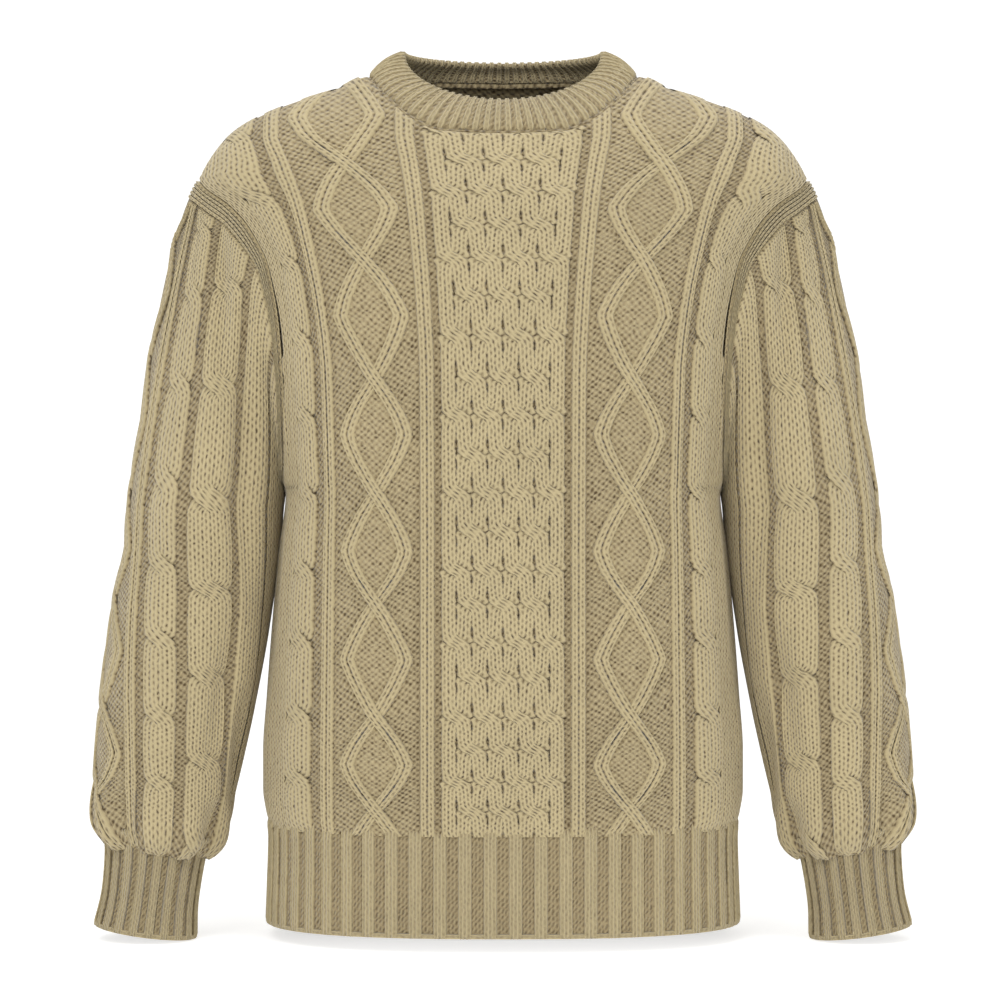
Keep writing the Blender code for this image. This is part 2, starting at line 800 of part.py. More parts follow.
def diamond_lines(centre, first=FIRST_ROW):
    """Middles and edges of the two bands of a diamond panel."""
    lines = []
    edge = DIAMOND_SWING + BAND_HALF + 1.5
    for side in (-1, 1):
        middle, outside, within = [], [], []
        for row in rows_between(DIAMOND_ROWS / 4, first):
            offset = DIAMOND_SWING * wave(row / DIAMOND_ROWS)
            middle.append((centre + side * offset, row))
            outside.append((centre + side * min(max(offset, 1.0) + BAND_HALF, edge), row))
            if offset > BAND_HALF:
                within.append((centre + side * (offset - BAND_HALF), row))
            else:
                lines.append(within)
                within = []
        lines += [middle, outside, within]
    return lines


def straight_lines(us, step, first=FIRST_ROW):
    return [[(u, row) for row in rows_between(step, first)] for u in us]


def rope_lines(centre, half, swing, rows, first, from_row=FIRST_ROW):
    """The two strands of a cable, the hollow between them and its edges."""
    lines = []
    step = rows / 2
    count = int((LAST_ROW - from_row) / step) + 2
    start = first - math.floor((first - from_row) / step) * step
    stops = [start + k * step for k in range(count)]
    for side in (-1, 1):
        lines.append([(centre + side * swing * wave((row - first) / rows), row) for row in stops])
        lines.append([(centre + side * half, row) for row in stops])
        lines += [[(centre + side * swing, row)] for row in stops]
    lines += [[(centre, row)] for row in stops]
    return lines


def to_heights(lines):
    return [[(u, z_of_row(row)) for u, row in line] for line in lines]


def shoulder_points(side):
    """Points that round the cloth over the shoulder line and down from the neck."""
    spots = []
    for u in SHOULDER_STEPS_U:
        top = shoulder_edge(side, u)
        spots += [[(sign * u, top - drop)] for sign in (-1, 1) for drop in SHOULDER_DROPS]
    return spots


def below_shoulder(side, lines):
    """The lines without what comes too near the shoulder line, where the cloth bends over sharply."""
    return [
        [(u, z) for u, z in line if abs(u) < NECK_HALF or z < shoulder_edge(side, u) - PATTERN_DROP]
        for line in lines
    ]


def relief_lines(side):
    """Lines of a panel's outer face that its cables need, in (u, z)."""
    lines = honeycomb_lines()
    diamond_step = DIAMOND_ROWS / 4
    for sign in (-1, 1):
        lines += diamond_lines(sign * DIAMOND_U)
        for cord in (INNER_CORD_U, OUTER_CORD_U):
            us = [sign * (cord + off) for off in (-CORD_HALF, 0, CORD_HALF)]
            lines += straight_lines(us, diamond_step)
        lines += rope_lines(sign * ROPE_U, ROPE_HALF, ROPE_SWING, ROPE_ROWS, ROPE_FIRST)
        lines += [[(sign * u, row)] for u in (199, 212, 236) for row in rows_between(1.0)]
    return below_shoulder(side, to_heights(lines)) + shoulder_points(side)


def panel_outline(side):
    """Corner list of a panel, clockwise seen with u to the right: (u, z, which edge, step)."""
    side_zs = [z_of_row(row) for row in SIDE_ROWS]
    right = [(PANEL_HALF, z, "side", 0) for z in side_zs]
    right += [(panel_edge(z)[0], z, "armhole", i) for i, z in enumerate(ARMHOLE_STEPS_Z)]
    right += [(u, shoulder_edge(side, u), "shoulder", 0) for u in SHOULDER_STEPS_U]
    right += [(u, top_z(side, u), "neck", 0) for u in NECK_STEPS_U[::-1]]
    left = [(-u, z, kind, step) for u, z, kind, step in right[-2::-1]]
    hem_us = [i * 2 * PANEL_HALF / HEM_STEPS - PANEL_HALF for i in range(HEM_STEPS + 1)]
    return [(u, HEM_SEAM_Z, "hem", 0) for u in hem_us] + right + left


def nearest_frame(frames, point):
    return min(frames, key=lambda frame: np.linalg.norm(frame.point - point))


def make_panel(name, side, neck, armholes):
    outline = panel_outline(side)
    last_step = len(ARMHOLE_STEPS_Z) - 1

    def edge(i):
        u, z, kind, step = outline[i]
        point = body_base(side, u, z)
        normal = body_normal(side, u, z)
        move = np.zeros(3)
        if kind == "hem":
            normal = unit(normal * np.array([1, 1, 0]))
            move[2] = HALF_GAP
        on_plane = kind in ("side", "shoulder") or abs(u) == PANEL_HALF
        if kind == "neck":
            frame = nearest_frame(neck, point)
            point, normal, move = frame.point, frame.outward, -frame.across * HALF_GAP
            on_plane = abs(u) == NECK_HALF
        if kind == "armhole":
            frame = nearest_frame(armholes[1 if u > 0 else -1], point)
            point, normal, move = frame.point, frame.outward, -frame.across * HALF_GAP
            on_plane = step in (0, last_step)
        if on_plane:
            normal = unit(normal * np.array([1, 0, 1]))
            point = point * np.array([1, 0, 1])
            move[1] = side * HALF_GAP
        return point + move, point + move - normal * WALL

    flat = [(u, z) for u, z, _, _ in outline]

    def outer(u, z):
        near_edge = fade(edge_distance(flat, (u, z)) / EDGE_FADE)
        to_shoulder = shoulder_edge(side, u) - z if NECK_HALF <= abs(u) <= ARMHOLE_HALF else SHOULDER_FADE
        rise = body_rise(u, z) * near_edge * fade(to_shoulder / SHOULDER_FADE)
        return body_base(side, u, z) + body_normal(side, u, z) * (rise - fold_depth(u, z))

    def inner(u, z):
        return body_base(side, u, z) - body_normal(side, u, z) * (WALL + fold_depth(u, z))

    half = (28, INNER_CORD_U, 95, 132, ROPE_U, 205, 235)
    columns = [-u for u in half] + [0, *half]
    plain = [(u, z_of_row(row)) for u in columns for row in np.arange(-1.5, LAST_ROW, 1.5)]
    return build_wall(name, outline, edge, relief_lines(side), plain, outer, inner)


def rib_columns(count, half):
    """Flat positions of rib ridges and grooves across a piece, ridge or groove by turns."""
    pitch = 2 * half / count
    return [(-half + k * pitch / 2, k % 2) for k in range(2 * count + 1)]


def make_hem_rib(name, side):
    """Rib of one body panel: ridges of the 2x2 rib from just under its seam to the hem."""
    columns = rib_columns(HEM_RIBS, PANEL_HALF)
    outline = [(u, HEM_Z, "hem", ridge) for u, ridge in columns]
    outline.append((PANEL_HALF, HEM_MIDDLE_Z, "side", 0))
    for i in range(HEM_STEPS + 1):
        outline.append((PANEL_HALF - i * 2 * PANEL_HALF / HEM_STEPS, HEM_SEAM_Z, "seam", 0))
    outline.append((-PANEL_HALF, HEM_MIDDLE_Z, "side", 0))

    def flat_normal(u, z):
        return unit(body_normal(side, u, z) * np.array([1, 1, 0]))

    def edge(i):
        u, z, kind, ridge = outline[i]
        point = body_base(side, u, z)
        normal = flat_normal(u, z)
        rise = RIB_RISE * ridge
        if abs(u) == PANEL_HALF:
            normal = np.array([math.copysign(1, u), 0, 0])
            point[1] = side * HALF_GAP
        if kind == "seam":
            point[2] -= HALF_GAP
        return point + normal * rise, point - normal * RIB_WALL

    def outer(u, z):
        ridge = round((u + PANEL_HALF) / (PANEL_HALF / HEM_RIBS)) % 2
        return body_base(side, u, z) + flat_normal(u, z) * RIB_RISE * ridge

    def inner(u, z):
        return body_base(side, u, z) - flat_normal(u, z) * RIB_WALL

    relief = [[(u, z) for z in (HEM_SEAM_Z - 9, HEM_MIDDLE_Z - 5)] for u, _ in columns]
    plain = [(u, HEM_MIDDLE_Z) for u in range(-240, 241, 40)]
    return build_wall(name, outline, edge, relief, plain, outer, inner)


# ---------------------------------------------------------------- sleeves and cuffs


def sleeve_relief_lines():
    """Lines of the sleeve's outer face, in (w, z): the same cables, laid out from its outer line."""
    first = SLEEVE_FIRST_ROW
    lines = diamond_lines(0.0, first)
    rope = (ROPE_HALF, ROPE_SWING, SLEEVE_ROPE_ROWS, SLEEVE_ROPE_FIRST)
    cable = (SLEEVE_CABLE_HALF, SLEEVE_CABLE_SWING, SLEEVE_CABLE_ROWS, SLEEVE_CABLE_FIRST)
    for side in (-1, 1):
        for cord in (SLEEVE_CORD_W, SLEEVE_EDGE_CORD_W):
            across = [side * (cord + off) for off in (-SLEEVE_CORD_HALF, 0, SLEEVE_CORD_HALF)]
            lines += straight_lines(across, 1.0, first)
        lines += rope_lines(side * SLEEVE_ROPE_W, *rope, from_row=first)
        lines += rope_lines(side * SLEEVE_CABLE_W, *cable, from_row=first)
        lines += [[(side * w, row)] for w in (160, 180) for row in rows_between(2.0)]
    return to_heights(lines)


def ring_outline(z, steps):
    """Outline points right round a tube, from its cut edge back to it."""
    ws = [SLEEVE_HALF - i * 2 * SLEEVE_HALF / steps for i in range(steps + 1)]
    return [(w, z, "cut" if abs(w) == SLEEVE_HALF else "ring") for w in ws]


def make_sleeve(name, sleeve):
    left = sleeve.left
    cut_zs = (-390, -440, -490, -540, -580, -603)
    outline = [(-SLEEVE_HALF, z, "cut") for z in cut_zs[::-1]]
    outline += [(w, sleeve.top_z(w), "cut" if abs(w) == SLEEVE_HALF else "seam") for w in sleeve.seam_w]
    outline += [(SLEEVE_HALF, z, "cut") for z in cut_zs]
    outline += ring_outline(CUFF_SEAM_Z, RING_STEPS)
    tops = {round(w, 6): frame for w, frame in zip(sleeve.seam_w, sleeve.seam, strict=True)}
    axis = cuff_axis(left)

    def edge(i):
        w, z, _ = outline[i]
        if z > TUBE_TOP_Z:
            frame = tops[round(w, 6)]
            point = frame.point + frame.across * HALF_GAP
            return point, point - frame.outward * WALL
        point = sleeve.point(w, z)
        normal = sleeve.normal(w, z)
        if z == CUFF_SEAM_Z:
            normal = unit(normal - axis * normal.dot(axis))
            point = point + axis * HALF_GAP
        return point, point - normal * WALL

    def height(w, z):
        near_seam = fade((sleeve.top_z(w) - z - 12) / SEAM_FADE)
        near_cuff = fade((z - CUFF_SEAM_Z - 4) / SEAM_FADE)
        inner_arm = 1 - fade((abs(w) - 150) / 10)
        return sleeve_rise(w, z) * near_seam * near_cuff * inner_arm + pucker(w, z)

    def outer(w, z):
        return sleeve.point(w, z) + sleeve.normal(w, z) * height(w, z)

    def inner(w, z):
        return sleeve.point(w, z) - sleeve.normal(w, z) * (WALL - min(pucker(w, z), 0))

    lines = sleeve_relief_lines()
    plain = [(w, z_of_row(row)) for w in range(-175, 176, 25) for row in np.arange(0, 19, 2)]
    return build_wall(name, outline, edge, lines, plain, outer, inner, closed_tube=True)


def pucker(w, z):
    """Gathers of the sleeve where it is drawn into the cuff."""
    close = hump((z - PUCKER_Z) / PUCKER_REACH)
    return PUCKER_DEPTH * close * math.sin(PUCKERS * math.pi * w / SLEEVE_HALF)


def cuff_axis(left):
    """Direction of the arm at the cuff, pointing up."""
    lean = math.radians(ring_curves["tilt"](CUFF_SEAM_Z))
    return np.array([-left * math.sin(lean), 0, math.cos(lean)])


def make_cuff(name, left):
    """Rib of one sleeve: a tube of 2x2 rib from just under the sleeve's seam to the wrist."""
    axis = cuff_axis(left)
    columns = rib_columns(CUFF_RIBS, SLEEVE_HALF)
    hem_z = CUFF_SEAM_Z - CUFF_LENGTH
    middle_z = hem_z + CUFF_LENGTH / 2
    outline = ring_outline(hem_z, 2 * CUFF_RIBS)[::-1]
    outline.append((SLEEVE_HALF, middle_z, "cut"))
    outline += ring_outline(CUFF_SEAM_Z, RING_STEPS)
    outline.append((-SLEEVE_HALF, middle_z, "cut"))

    def surface(w, z):
        return sleeve_ring_point(left, w, z)

    def normal_at(w, z):
        normal = surface_normal(surface, w, z)
        if left > 0:
            normal = -normal
        return unit(normal - axis * normal.dot(axis))

    def ridge(w):
        return round((w + SLEEVE_HALF) / (SLEEVE_HALF / CUFF_RIBS)) % 2

    def edge(i):
        w, z, _ = outline[i]
        point = surface(w, z)
        normal = normal_at(w, z)
        if z == CUFF_SEAM_Z:
            point = point - axis * HALF_GAP
            return point, point - normal * RIB_WALL
        return point + normal * RIB_RISE * ridge(w), point - normal * RIB_WALL

    def outer(w, z):
        return surface(w, z) + normal_at(w, z) * RIB_RISE * ridge(w)

    def inner(w, z):
        return surface(w, z) - normal_at(w, z) * RIB_WALL

    relief = [[(w, z) for z in (CUFF_SEAM_Z - 8, middle_z)] for w, _ in columns[1:-1]]
    plain = [(w, middle_z) for w in range(-160, 161, 40)]
    return build_wall(name, outline, edge, relief, plain, outer, inner, closed_tube=True)


# ---------------------------------------------------------------- neckband


def neck_turn(point):
    """Angle round the neck of a seam point: 0 at the front, growing towards +X."""
    depth = NECK_FRONT if point[1] < 0 else NECK_BACK
    return math.atan2(point[0] / NECK_SIDE, -point[1] / depth)


def rim_point(turn):
    """A point of the neckband's rim."""
    front = math.cos(turn)
    reach = RIM_FRONT if front > 0 else RIM_BACK
    if front > 0:
        z = RIM_SIDE_Z + (RIM_FRONT_Z - RIM_SIDE_Z) * front
    else:
        z = RIM_SIDE_Z + (RIM_BACK_Z - RIM_SIDE_Z) * abs(front)
    return np.array([RIM_HALF_WIDTH * math.sin(turn), -reach * front, z])


def make_neckband(name, frames):
    """Ribbed band from the neck seam to its rim, in (turn in degrees, percent of the way up)."""
    seam = sorted(frames, key=lambda frame: neck_turn(frame.point))
    back = max(seam, key=lambda frame: frame.point[1])
    seam = [back] + [frame for frame in seam if frame is not back] + [back]
    degrees = np.array([math.degrees(neck_turn(frame.point)) for frame in seam])
    degrees[0], degrees[-1] = -180.0, 180.0

    def seam_at(turn):
        i = int(np.clip(np.searchsorted(degrees, turn) - 1, 0, len(degrees) - 2))
        t = (turn - degrees[i]) / (degrees[i + 1] - degrees[i])
        a, b = seam[i], seam[i + 1]
        return SeamPoint(*(p * (1 - t) + q * t for p, q in zip(a, b, strict=True)))

    def surface(turn, height):
        turn = (turn + 180) % 360 - 180
        frame = seam_at(turn)
        rim = rim_point(math.radians(turn))
        t = height / 100
        bulge = frame.outward * BAND_BULGE * math.sin(math.pi * min(max(t, 0), 1))
        return frame.point + (rim - frame.point) * t + bulge

    def normal_at(turn, height):
        return surface_normal(surface, turn, min(max(height, 4), 96), 1.0)

    rim_turns = [180.0 - i * 360.0 / RIM_STEPS for i in range(RIM_STEPS + 1)]
    outline = [(turn, 0.0, "cut" if abs(turn) == 180 else "seam", i) for i, turn in enumerate(degrees)]
    outline.append((180.0, 50.0, "cut", 0))
    outline += [(turn, 100.0, "cut" if abs(turn) == 180 else "rim", 0) for turn in rim_turns]
    outline.append((-180.0, 50.0, "cut", 0))

    def edge(i):
        turn, height, _, step = outline[i]
        if height == 0:
            frame = seam[step]
            point = frame.point + frame.across * HALF_GAP
            return point, point - frame.outward * BAND_WALL
        point = surface(turn, height)
        return point, point - normal_at(turn, height) * BAND_WALL

    pitch = 360 / (2 * NECK_RIBS)

    def outer(turn, height):
        ridge = round((turn + 180) / pitch) % 2
        return surface(turn, height) + normal_at(turn, height) * NECK_RIB_RISE * ridge

    def inner(turn, height):
        return surface(turn, height) - normal_at(turn, height) * BAND_WALL

    ribs = [-180 + k * pitch for k in range(1, 2 * NECK_RIBS)]
    relief = [[(turn, height) for height in (16, 88)] for turn in ribs]
    plain = [(turn, 50) for turn in range(-165, 166, 15)]
    return build_wall(name, outline, edge, relief, plain, outer, inner, closed_tube=True)


# ---------------------------------------------------------------- the whole sweater


def clear_scene():
    for old in list(bpy.data.objects):
        bpy.data.objects.remove(old)
    collection = bpy.data.collections.new(COLLECTION)
    bpy.context.scene.collection.children.link(collection)


def main():
    clear_scene()
    sleeves = {1: Sleeve(1), -1: Sleeve(-1)}
    armholes = {left: sleeve.frames for left, sleeve in sleeves.items()}
    neck = neck_frames()
    make_panel("front_panel", -1, neck, armholes)
    make_panel("back_panel", 1, neck, armholes)
    make_hem_rib("hem_rib_front", -1)
    make_hem_rib("hem_rib_back", 1)
    make_neckband("neckband", neck)
    for left, word in ((1, "left"), (-1, "right")):
        make_sleeve(f"sleeve_{word}", sleeves[left])
        make_cuff(f"cuff_{word}", left)


main()
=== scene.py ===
"""Crew neck cable knit sweater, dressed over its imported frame.

Every piece is a closed shell of purl ground with its knitted wales laid over it, wale by wale, so that
the cables cross over and under each other. Sizes here are in millimetres, and MM turns them into metres.
A piece is drawn in knit coordinates: a runs across it, to the right of someone looking at its outer
face, and b is a height. Pattern rows count downwards, six courses to a row.
"""

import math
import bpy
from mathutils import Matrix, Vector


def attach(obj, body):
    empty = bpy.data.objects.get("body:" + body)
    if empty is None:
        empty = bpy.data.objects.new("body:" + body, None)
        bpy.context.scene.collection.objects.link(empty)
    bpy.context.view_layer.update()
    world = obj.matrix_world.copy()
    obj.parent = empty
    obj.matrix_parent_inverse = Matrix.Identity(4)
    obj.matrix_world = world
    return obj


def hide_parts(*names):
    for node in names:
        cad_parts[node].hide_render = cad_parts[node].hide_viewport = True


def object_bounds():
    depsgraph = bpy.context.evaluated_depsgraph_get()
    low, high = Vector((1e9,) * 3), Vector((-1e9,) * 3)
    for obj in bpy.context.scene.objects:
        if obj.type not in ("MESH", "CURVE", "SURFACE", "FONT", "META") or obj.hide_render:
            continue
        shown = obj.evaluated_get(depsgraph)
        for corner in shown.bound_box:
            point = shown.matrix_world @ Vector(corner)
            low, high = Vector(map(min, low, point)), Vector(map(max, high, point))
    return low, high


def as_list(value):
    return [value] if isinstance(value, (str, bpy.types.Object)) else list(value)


bl_info = {
    "name": "Cable knit sweater",
    "version": (1, 0, 0),
    "blender": (4, 5, 0),
    "location": "3D View > Sidebar > Knitwear",
    "description": "Knits a cable sweater over its packed frame",
    "category": "Object",
}

from collections import namedtuple

import bmesh
import bpy
import numpy as np
from bpy.props import FloatProperty, FloatVectorProperty, PointerProperty
from mathutils import Vector

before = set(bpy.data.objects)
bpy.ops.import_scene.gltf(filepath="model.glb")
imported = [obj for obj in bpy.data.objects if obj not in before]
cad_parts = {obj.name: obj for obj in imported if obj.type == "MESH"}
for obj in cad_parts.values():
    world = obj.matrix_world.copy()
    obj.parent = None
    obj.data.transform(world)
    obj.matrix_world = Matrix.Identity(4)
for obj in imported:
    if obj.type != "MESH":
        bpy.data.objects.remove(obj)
CAD_BOX = [list(corner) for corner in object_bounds()]
ROOT = "root"
MM = 0.001

# ---------------------------------------------------------------- sizes, in millimetres

WALL = 2.6
RIB_WALL = 3.0
BAND_WALL = 4.0
SEAM_GAP = 0.3

PANEL_HALF = 260.0
ARMHOLE_HALF = 212.0
NECK_HALF = 83.0
UNDERARM_Z = -335.0
HEM_SEAM_Z = -603.0
HEM_Z = -683.0
SECTION_POWER = 2.5
SHOULDER_POWER = 2.2

# Cable layout across a panel
WALE = 6.05
COURSE = 4.85
PAIR = 2 * WALE
INNER_CORD_U = 59.0
OUTER_CORD_U = 142.0
DIAMOND_U = 100.5
DIAMOND_SWING = 24.0
DIAMOND_ROWS = 3.0
ROPE_U = 171.5
ROPE_ROWS = 2.0
ROPE_FIRST = 1.0
PLAIN_U = 185.0
PLAIN_WALES = 11
COURSES_A_ROW = 6
SAMPLES_A_ROW = 12

# Sleeve layout from its outer line
SLEEVE_HALF = 200.0
TUBE_TOP_Z = -346.0
CUFF_SEAM_Z = -615.0
CUFF_LENGTH = 74.0
SLEEVE_CORD_W = 39.5
SLEEVE_ROPE_W = 67.0
SLEEVE_ROPE_ROWS = 2.1
SLEEVE_ROPE_FIRST = 4.6
SLEEVE_CABLE_W = 108.0
SLEEVE_CABLE_ROWS = 2.4
SLEEVE_CABLE_FIRST = 4.4
SLEEVE_EDGE_W = 146.0
SLEEVE_PLAIN_W = 162.0
SLEEVE_PLAIN_WALES = 6

HEM_RIBS = 32
CUFF_RIBS = 20
NECK_RIBS = 80

# A wale's section: its edges, legs, groove and underside as shares of its half width, and their heights
ACROSS = np.array([-1.0, -0.5, 0.0, 0.5, 1.0, 0.0])
GROOVE = 0.3
UNDERSIDE = 1.2
FOOT = -0.5

# Cables: how far crossings go over and under, the steps between wales side by side, how a diamond's bands
# cross, how far the outer edge is lifted off the floor where a cord goes over, and wider wales
OVER_RISE = 0.6
UNDER_DROP = 1.2
LADDER_STEP = 1.3
BAND_STEP = 1.6
BAND_LIFT_REACH = 0.3
BAND_LEVEL = 0.7
FLOOR_LIFT = 3
BAND_WIDER = 0.9
CORD_WIDER = 0.3
EDGE_WIDER = 0.5

# Honeycomb: how fast a pair changes place, how its crossings swell, where slots open beside them, and
# how its outer edge goes down to a gutter, by pairs from the middle
STRAND_STEP = 0.4
INNER_STEP = 0.3
QUICK_CROSS = 0.4
SLOW_CROSS = 1.0
QUICK_SHARE = 0.74
CROSS_LIFT = {1: OVER_RISE, -1: -0.8 * UNDER_DROP, 0: 0.0}
CROSS_SPREAD = {1: 0.6, -1: 1.15, 0: 0.0}
LIFT_REACH = 0.17
SPREAD_REACH = 0.13
CLOSE_REACH = 0.12
SLOT_START = 0.08
SLOT_END = 0.5
SLOT_FADE = 0.36
SLOT_DEPTH = 3.6
SLOT_BELOW = 0.6
SLOT_PINCH = 0.03
GUTTER = -0.4
GUTTER_START = 3.2
GUTTER_SPAN = 0.3
GUTTER_CLOSED = 0.6

# Ropes: pitch of their wales, how they cross, how they swell between crossings and round off
ROPE_PITCH = 7.4
SLEEVE_ROPE_PITCH = 7.0
SLEEVE_CABLE_PITCH = 6.0
ROPE_STEP = 0.25
ROPE_CROSS = 0.68
ROPE_LIFT_REACH = 0.24
ROPE_SPREAD = 0.55
ROPE_SPREAD_REACH = 0.2
ROPE_SWELL = 0.9
ROPE_SWELL_REACH = 0.42
ROPE_WIDEN = 0.05
ROPE_INNER_STEP = 0.45
ROPE_FOOT = -0.3
ROPE_CROWN = 1.6

# How the sleeve head's columns bend over to the armhole, and which way the cloth faces at the corners
HEAD_CLIMB = 0.42
HEAD_LEAVE = 0.16
HEAD_LEAN = 0.12
SHOULDER_OUT = (0.75, 0.65)
NECK_OUT = (0.45, 0.90)

# Body sections by height: half width, depth to the front and to the back
Section = namedtuple("Section", "z half_width front back")
BODY_SECTIONS = (
    Section(-690, 192, 119, 119),
    Section(-650, 190.5, 118, 118),
    Section(-615, 189.5, 118, 118),
    Section(-603, 190.5, 119, 119),
    Section(-575, 194.5, 122, 122),
    Section(-545, 194.5, 123, 122),
    Section(-500, 191.5, 123, 121),
    Section(-440, 187, 123, 119),
    Section(-380, 181.5, 122, 119),
    Section(-335, 176.0, 122, 120),
    Section(-325, 178.5, 122, 120),
    Section(-300, 181, 122, 121),
    Section(-260, 186, 121, 122),
    Section(-224, 190.5, 120, 122),
    Section(-196, 193.5, 119, 121),
    Section(-171, 198.5, 117, 120),
    Section(-149, 204.5, 114, 118),
    Section(-132, 211.5, 111, 116),
    Section(-116, 219.5, 108, 114),
    Section(-101, 231, 104, 111),
    Section(-86, 247, 99, 108),
    Section(-79, 253, 97, 106),
    Section(-60, 262, 93, 103),
    Section(0, 275, 80, 95),
    Section(40, 280, 72, 88),
)

# Armhole seam by height: distance from the centre plane, and the panel's flat half width there
Armhole = namedtuple("Armhole", "z x u")
ARMHOLE_SEAM = (
    Armhole(-335, 176.0, 260),
    Armhole(-325, 177.2, 249),
    Armhole(-300, 176.5, 229),
    Armhole(-260, 176.5, 215),
    Armhole(-224, 178, 212),
    Armhole(-196, 180.4, 212),
    Armhole(-171, 184.4, 212),
    Armhole(-149, 189.3, 212),
    Armhole(-132, 197.8, 212),
    Armhole(-116, 208.2, 212),
    Armhole(-101, 222.8, 212),
    Armhole(-86, 243, 212),
    Armhole(-79, 249, 212),
)
ARMHOLE_STRAIGHT_Z = -224.0
SHOULDER_TIP_Z = -79.0

# Shoulder line: height over each distance from the centre, and how far below it the cloth comes out to
# its full depth
Shoulder = namedtuple("Shoulder", "x z drop")
SHOULDER_LINE = (
    Shoulder(0, 38, 150),
    Shoulder(60, 27, 150),
    Shoulder(90, 15, 145),
    Shoulder(111, 5, 140),
    Shoulder(162, -11, 125),
    Shoulder(198, -25, 105),
    Shoulder(221, -39, 90),
    Shoulder(237, -57, 80),
    Shoulder(249, -79, 75),
    Shoulder(262, -120, 75),
    Shoulder(290, -200, 75),
)

# Neck seam heights by distance from the centre
NeckLine = namedtuple("NeckLine", "x front back")
NECK_LINE = (
    NeckLine(0, -49.7, 8),
    NeckLine(50, -46.8, 8),
    NeckLine(73, -35.9, 7),
    NeckLine(88, -22.9, 6.5),
    NeckLine(102, -8.0, 6),
    NeckLine(111, 5, 5),
)

# Pattern rows by height
Course = namedtuple("Course", "row z")
COURSES = (
    Course(-3, 10),
    Course(-1, -48),
    Course(0, -73.2),
    Course(1, -98.7),
    Course(2, -125.1),
    Course(3, -151.8),
    Course(4, -181.2),
    Course(5, -212.3),
    Course(6, -245.3),
    Course(7, -274.1),
    Course(8, -305.1),
    Course(9, -335.2),
    Course(10, -365.4),
    Course(11, -395.8),
    Course(12, -422.0),
    Course(13, -452.1),
    Course(14, -479.5),
    Course(15, -510.4),
    Course(16, -535.5),
    Course(17, -560.6),
    Course(18, -583.6),
    Course(19, -610.0),
    Course(20, -634.0),
)
FIRST_ROW = -3.2
LAST_ROW = 19.3

# How much wider than flat the cloth is stretched, by height
Stretch = namedtuple("Stretch", "z share")
STRETCHES = (
    Stretch(10, 1.34),
    Stretch(-48, 1.33),
    Stretch(-73, 1.26),
    Stretch(-99, 1.19),
    Stretch(-152, 1.10),
    Stretch(-181, 1.06),
    Stretch(-245, 1.01),
    Stretch(-396, 1.0),
    Stretch(-610, 1.0),
)

# Soft folds of the body: where each runs, how wide it is and how far it goes in
Fold = namedtuple("Fold", "u top bottom width depth")
BODY_FOLDS = (
    Fold(206, -150, -330, 9, 3.0),
    Fold(228, -330, -520, 16, 3.0),
    Fold(205, -430, -590, 18, 2.5),
    Fold(86, 10, -14, 14, -3.5),
)

# Soft folds of the sleeve, on its front and its back: how far each slants on its way down
Crease = namedtuple("Crease", "w top bottom width depth slant")
SLEEVE_CREASES = (
    Crease(104, -112, -300, 11, 8.5, 26),
    Crease(134, -190, -420, 11, 8.5, 10),
    Crease(64, -170, -420, 18, 2.5, -14),
    Crease(120, -430, -560, 12, 6.0, -14),
    Crease(84, -330, -420, 14, -3.5, 22),
    Crease(150, -480, -600, 13, 6.0, 12),
    Crease(40, -500, -600, 16, 3.0, 12),
)

# Sleeve tube by height: centre, half width and half depth, tilt of the ring and turn of the cloth
Ring = namedtuple("Ring", "z x y half_width half_depth tilt turn")
SLEEVE_RINGS = (
    Ring(-346, 243.0, -2, 62.0, 67, 0.0, 1),
    Ring(-380, 246.5, -3, 62.5, 66, 2.0, 5),
    Ring(-440, 255.5, -6, 63.0, 65, 4.0, 13),
    Ring(-505, 265.5, -11, 61.0, 62, 6.0, 22),
    Ring(-545, 271.5, -15, 58.5, 59, 7.0, 27),
    Ring(-570, 275.0, -18, 56.5, 56, 7.5, 31),
    Ring(-590, 278.0, -20, 55.0, 52, 8.0, 33),
    Ring(-603, 280.0, -21, 52.5, 47, 8.0, 35),
    Ring(-611, 281.0, -22, 46.5, 41, 8.0, 36),
    Ring(-615, 281.5, -22, 42.0, 37, 8.0, 36),
    Ring(-632, 283.0, -24, 38.0, 33.5, 8.0, 36),
    Ring(-660, 286.0, -27, 36.8, 33.5, 8.0, 36),
    Ring(-692, 290.0, -30, 40.0, 37, 8.0, 36),
)

# Where each sleeve column meets the armhole: the share of the seam from shoulder to underarm
SleeveHead = namedtuple("SleeveHead", "w share")
SLEEVE_HEAD = (
    SleeveHead(0, 0.0),
    SleeveHead(50, 0.06),
    SleeveHead(100, 0.19),
    SleeveHead(133, 0.34),
    SleeveHead(150, 0.46),
    SleeveHead(167, 0.64),
    SleeveHead(183, 0.83),
    SleeveHead(200, 1.0),
)

# The border of wales that follows the armhole over the sleeve head: its width by sleeve column
Border = namedtuple("Border", "w width")
HEAD_BORDER = (
    Border(0, 30),
    Border(100, 32),
    Border(133, 24),
    Border(150, 18),
    Border(175, 13),
    Border(200, 6),
)
BORDER_WALES = 5
BORDER_END = 196.0
BORDER_RISE = 2.4
BORDER_STEP = 1.5

# The neck: half sizes of its seam, of the band's rim, and the band between them
NECK_SIDE = 111.0
NECK_FRONT = 80.0
NECK_BACK = 66.0
RIM_HALF_WIDTH = 81.0
RIM_FRONT = 68.0
RIM_BACK = 50.0
RIM_FRONT_Z = -20.5
RIM_SIDE_Z = 27.0
RIM_BACK_Z = 25.0
NECK_AROUND = 520.0
NECK_BAND_LENGTH = 32.0
RIDGE_RADIUS = 2.4
BAND_BULGE = 3.6

# The cuff's stretched width, and the puckers of the sleeve above it
CUFF_AROUND = 240.0
PUCKERS = 9
PUCKER_Z = -598.0
PUCKER_REACH = 26.0

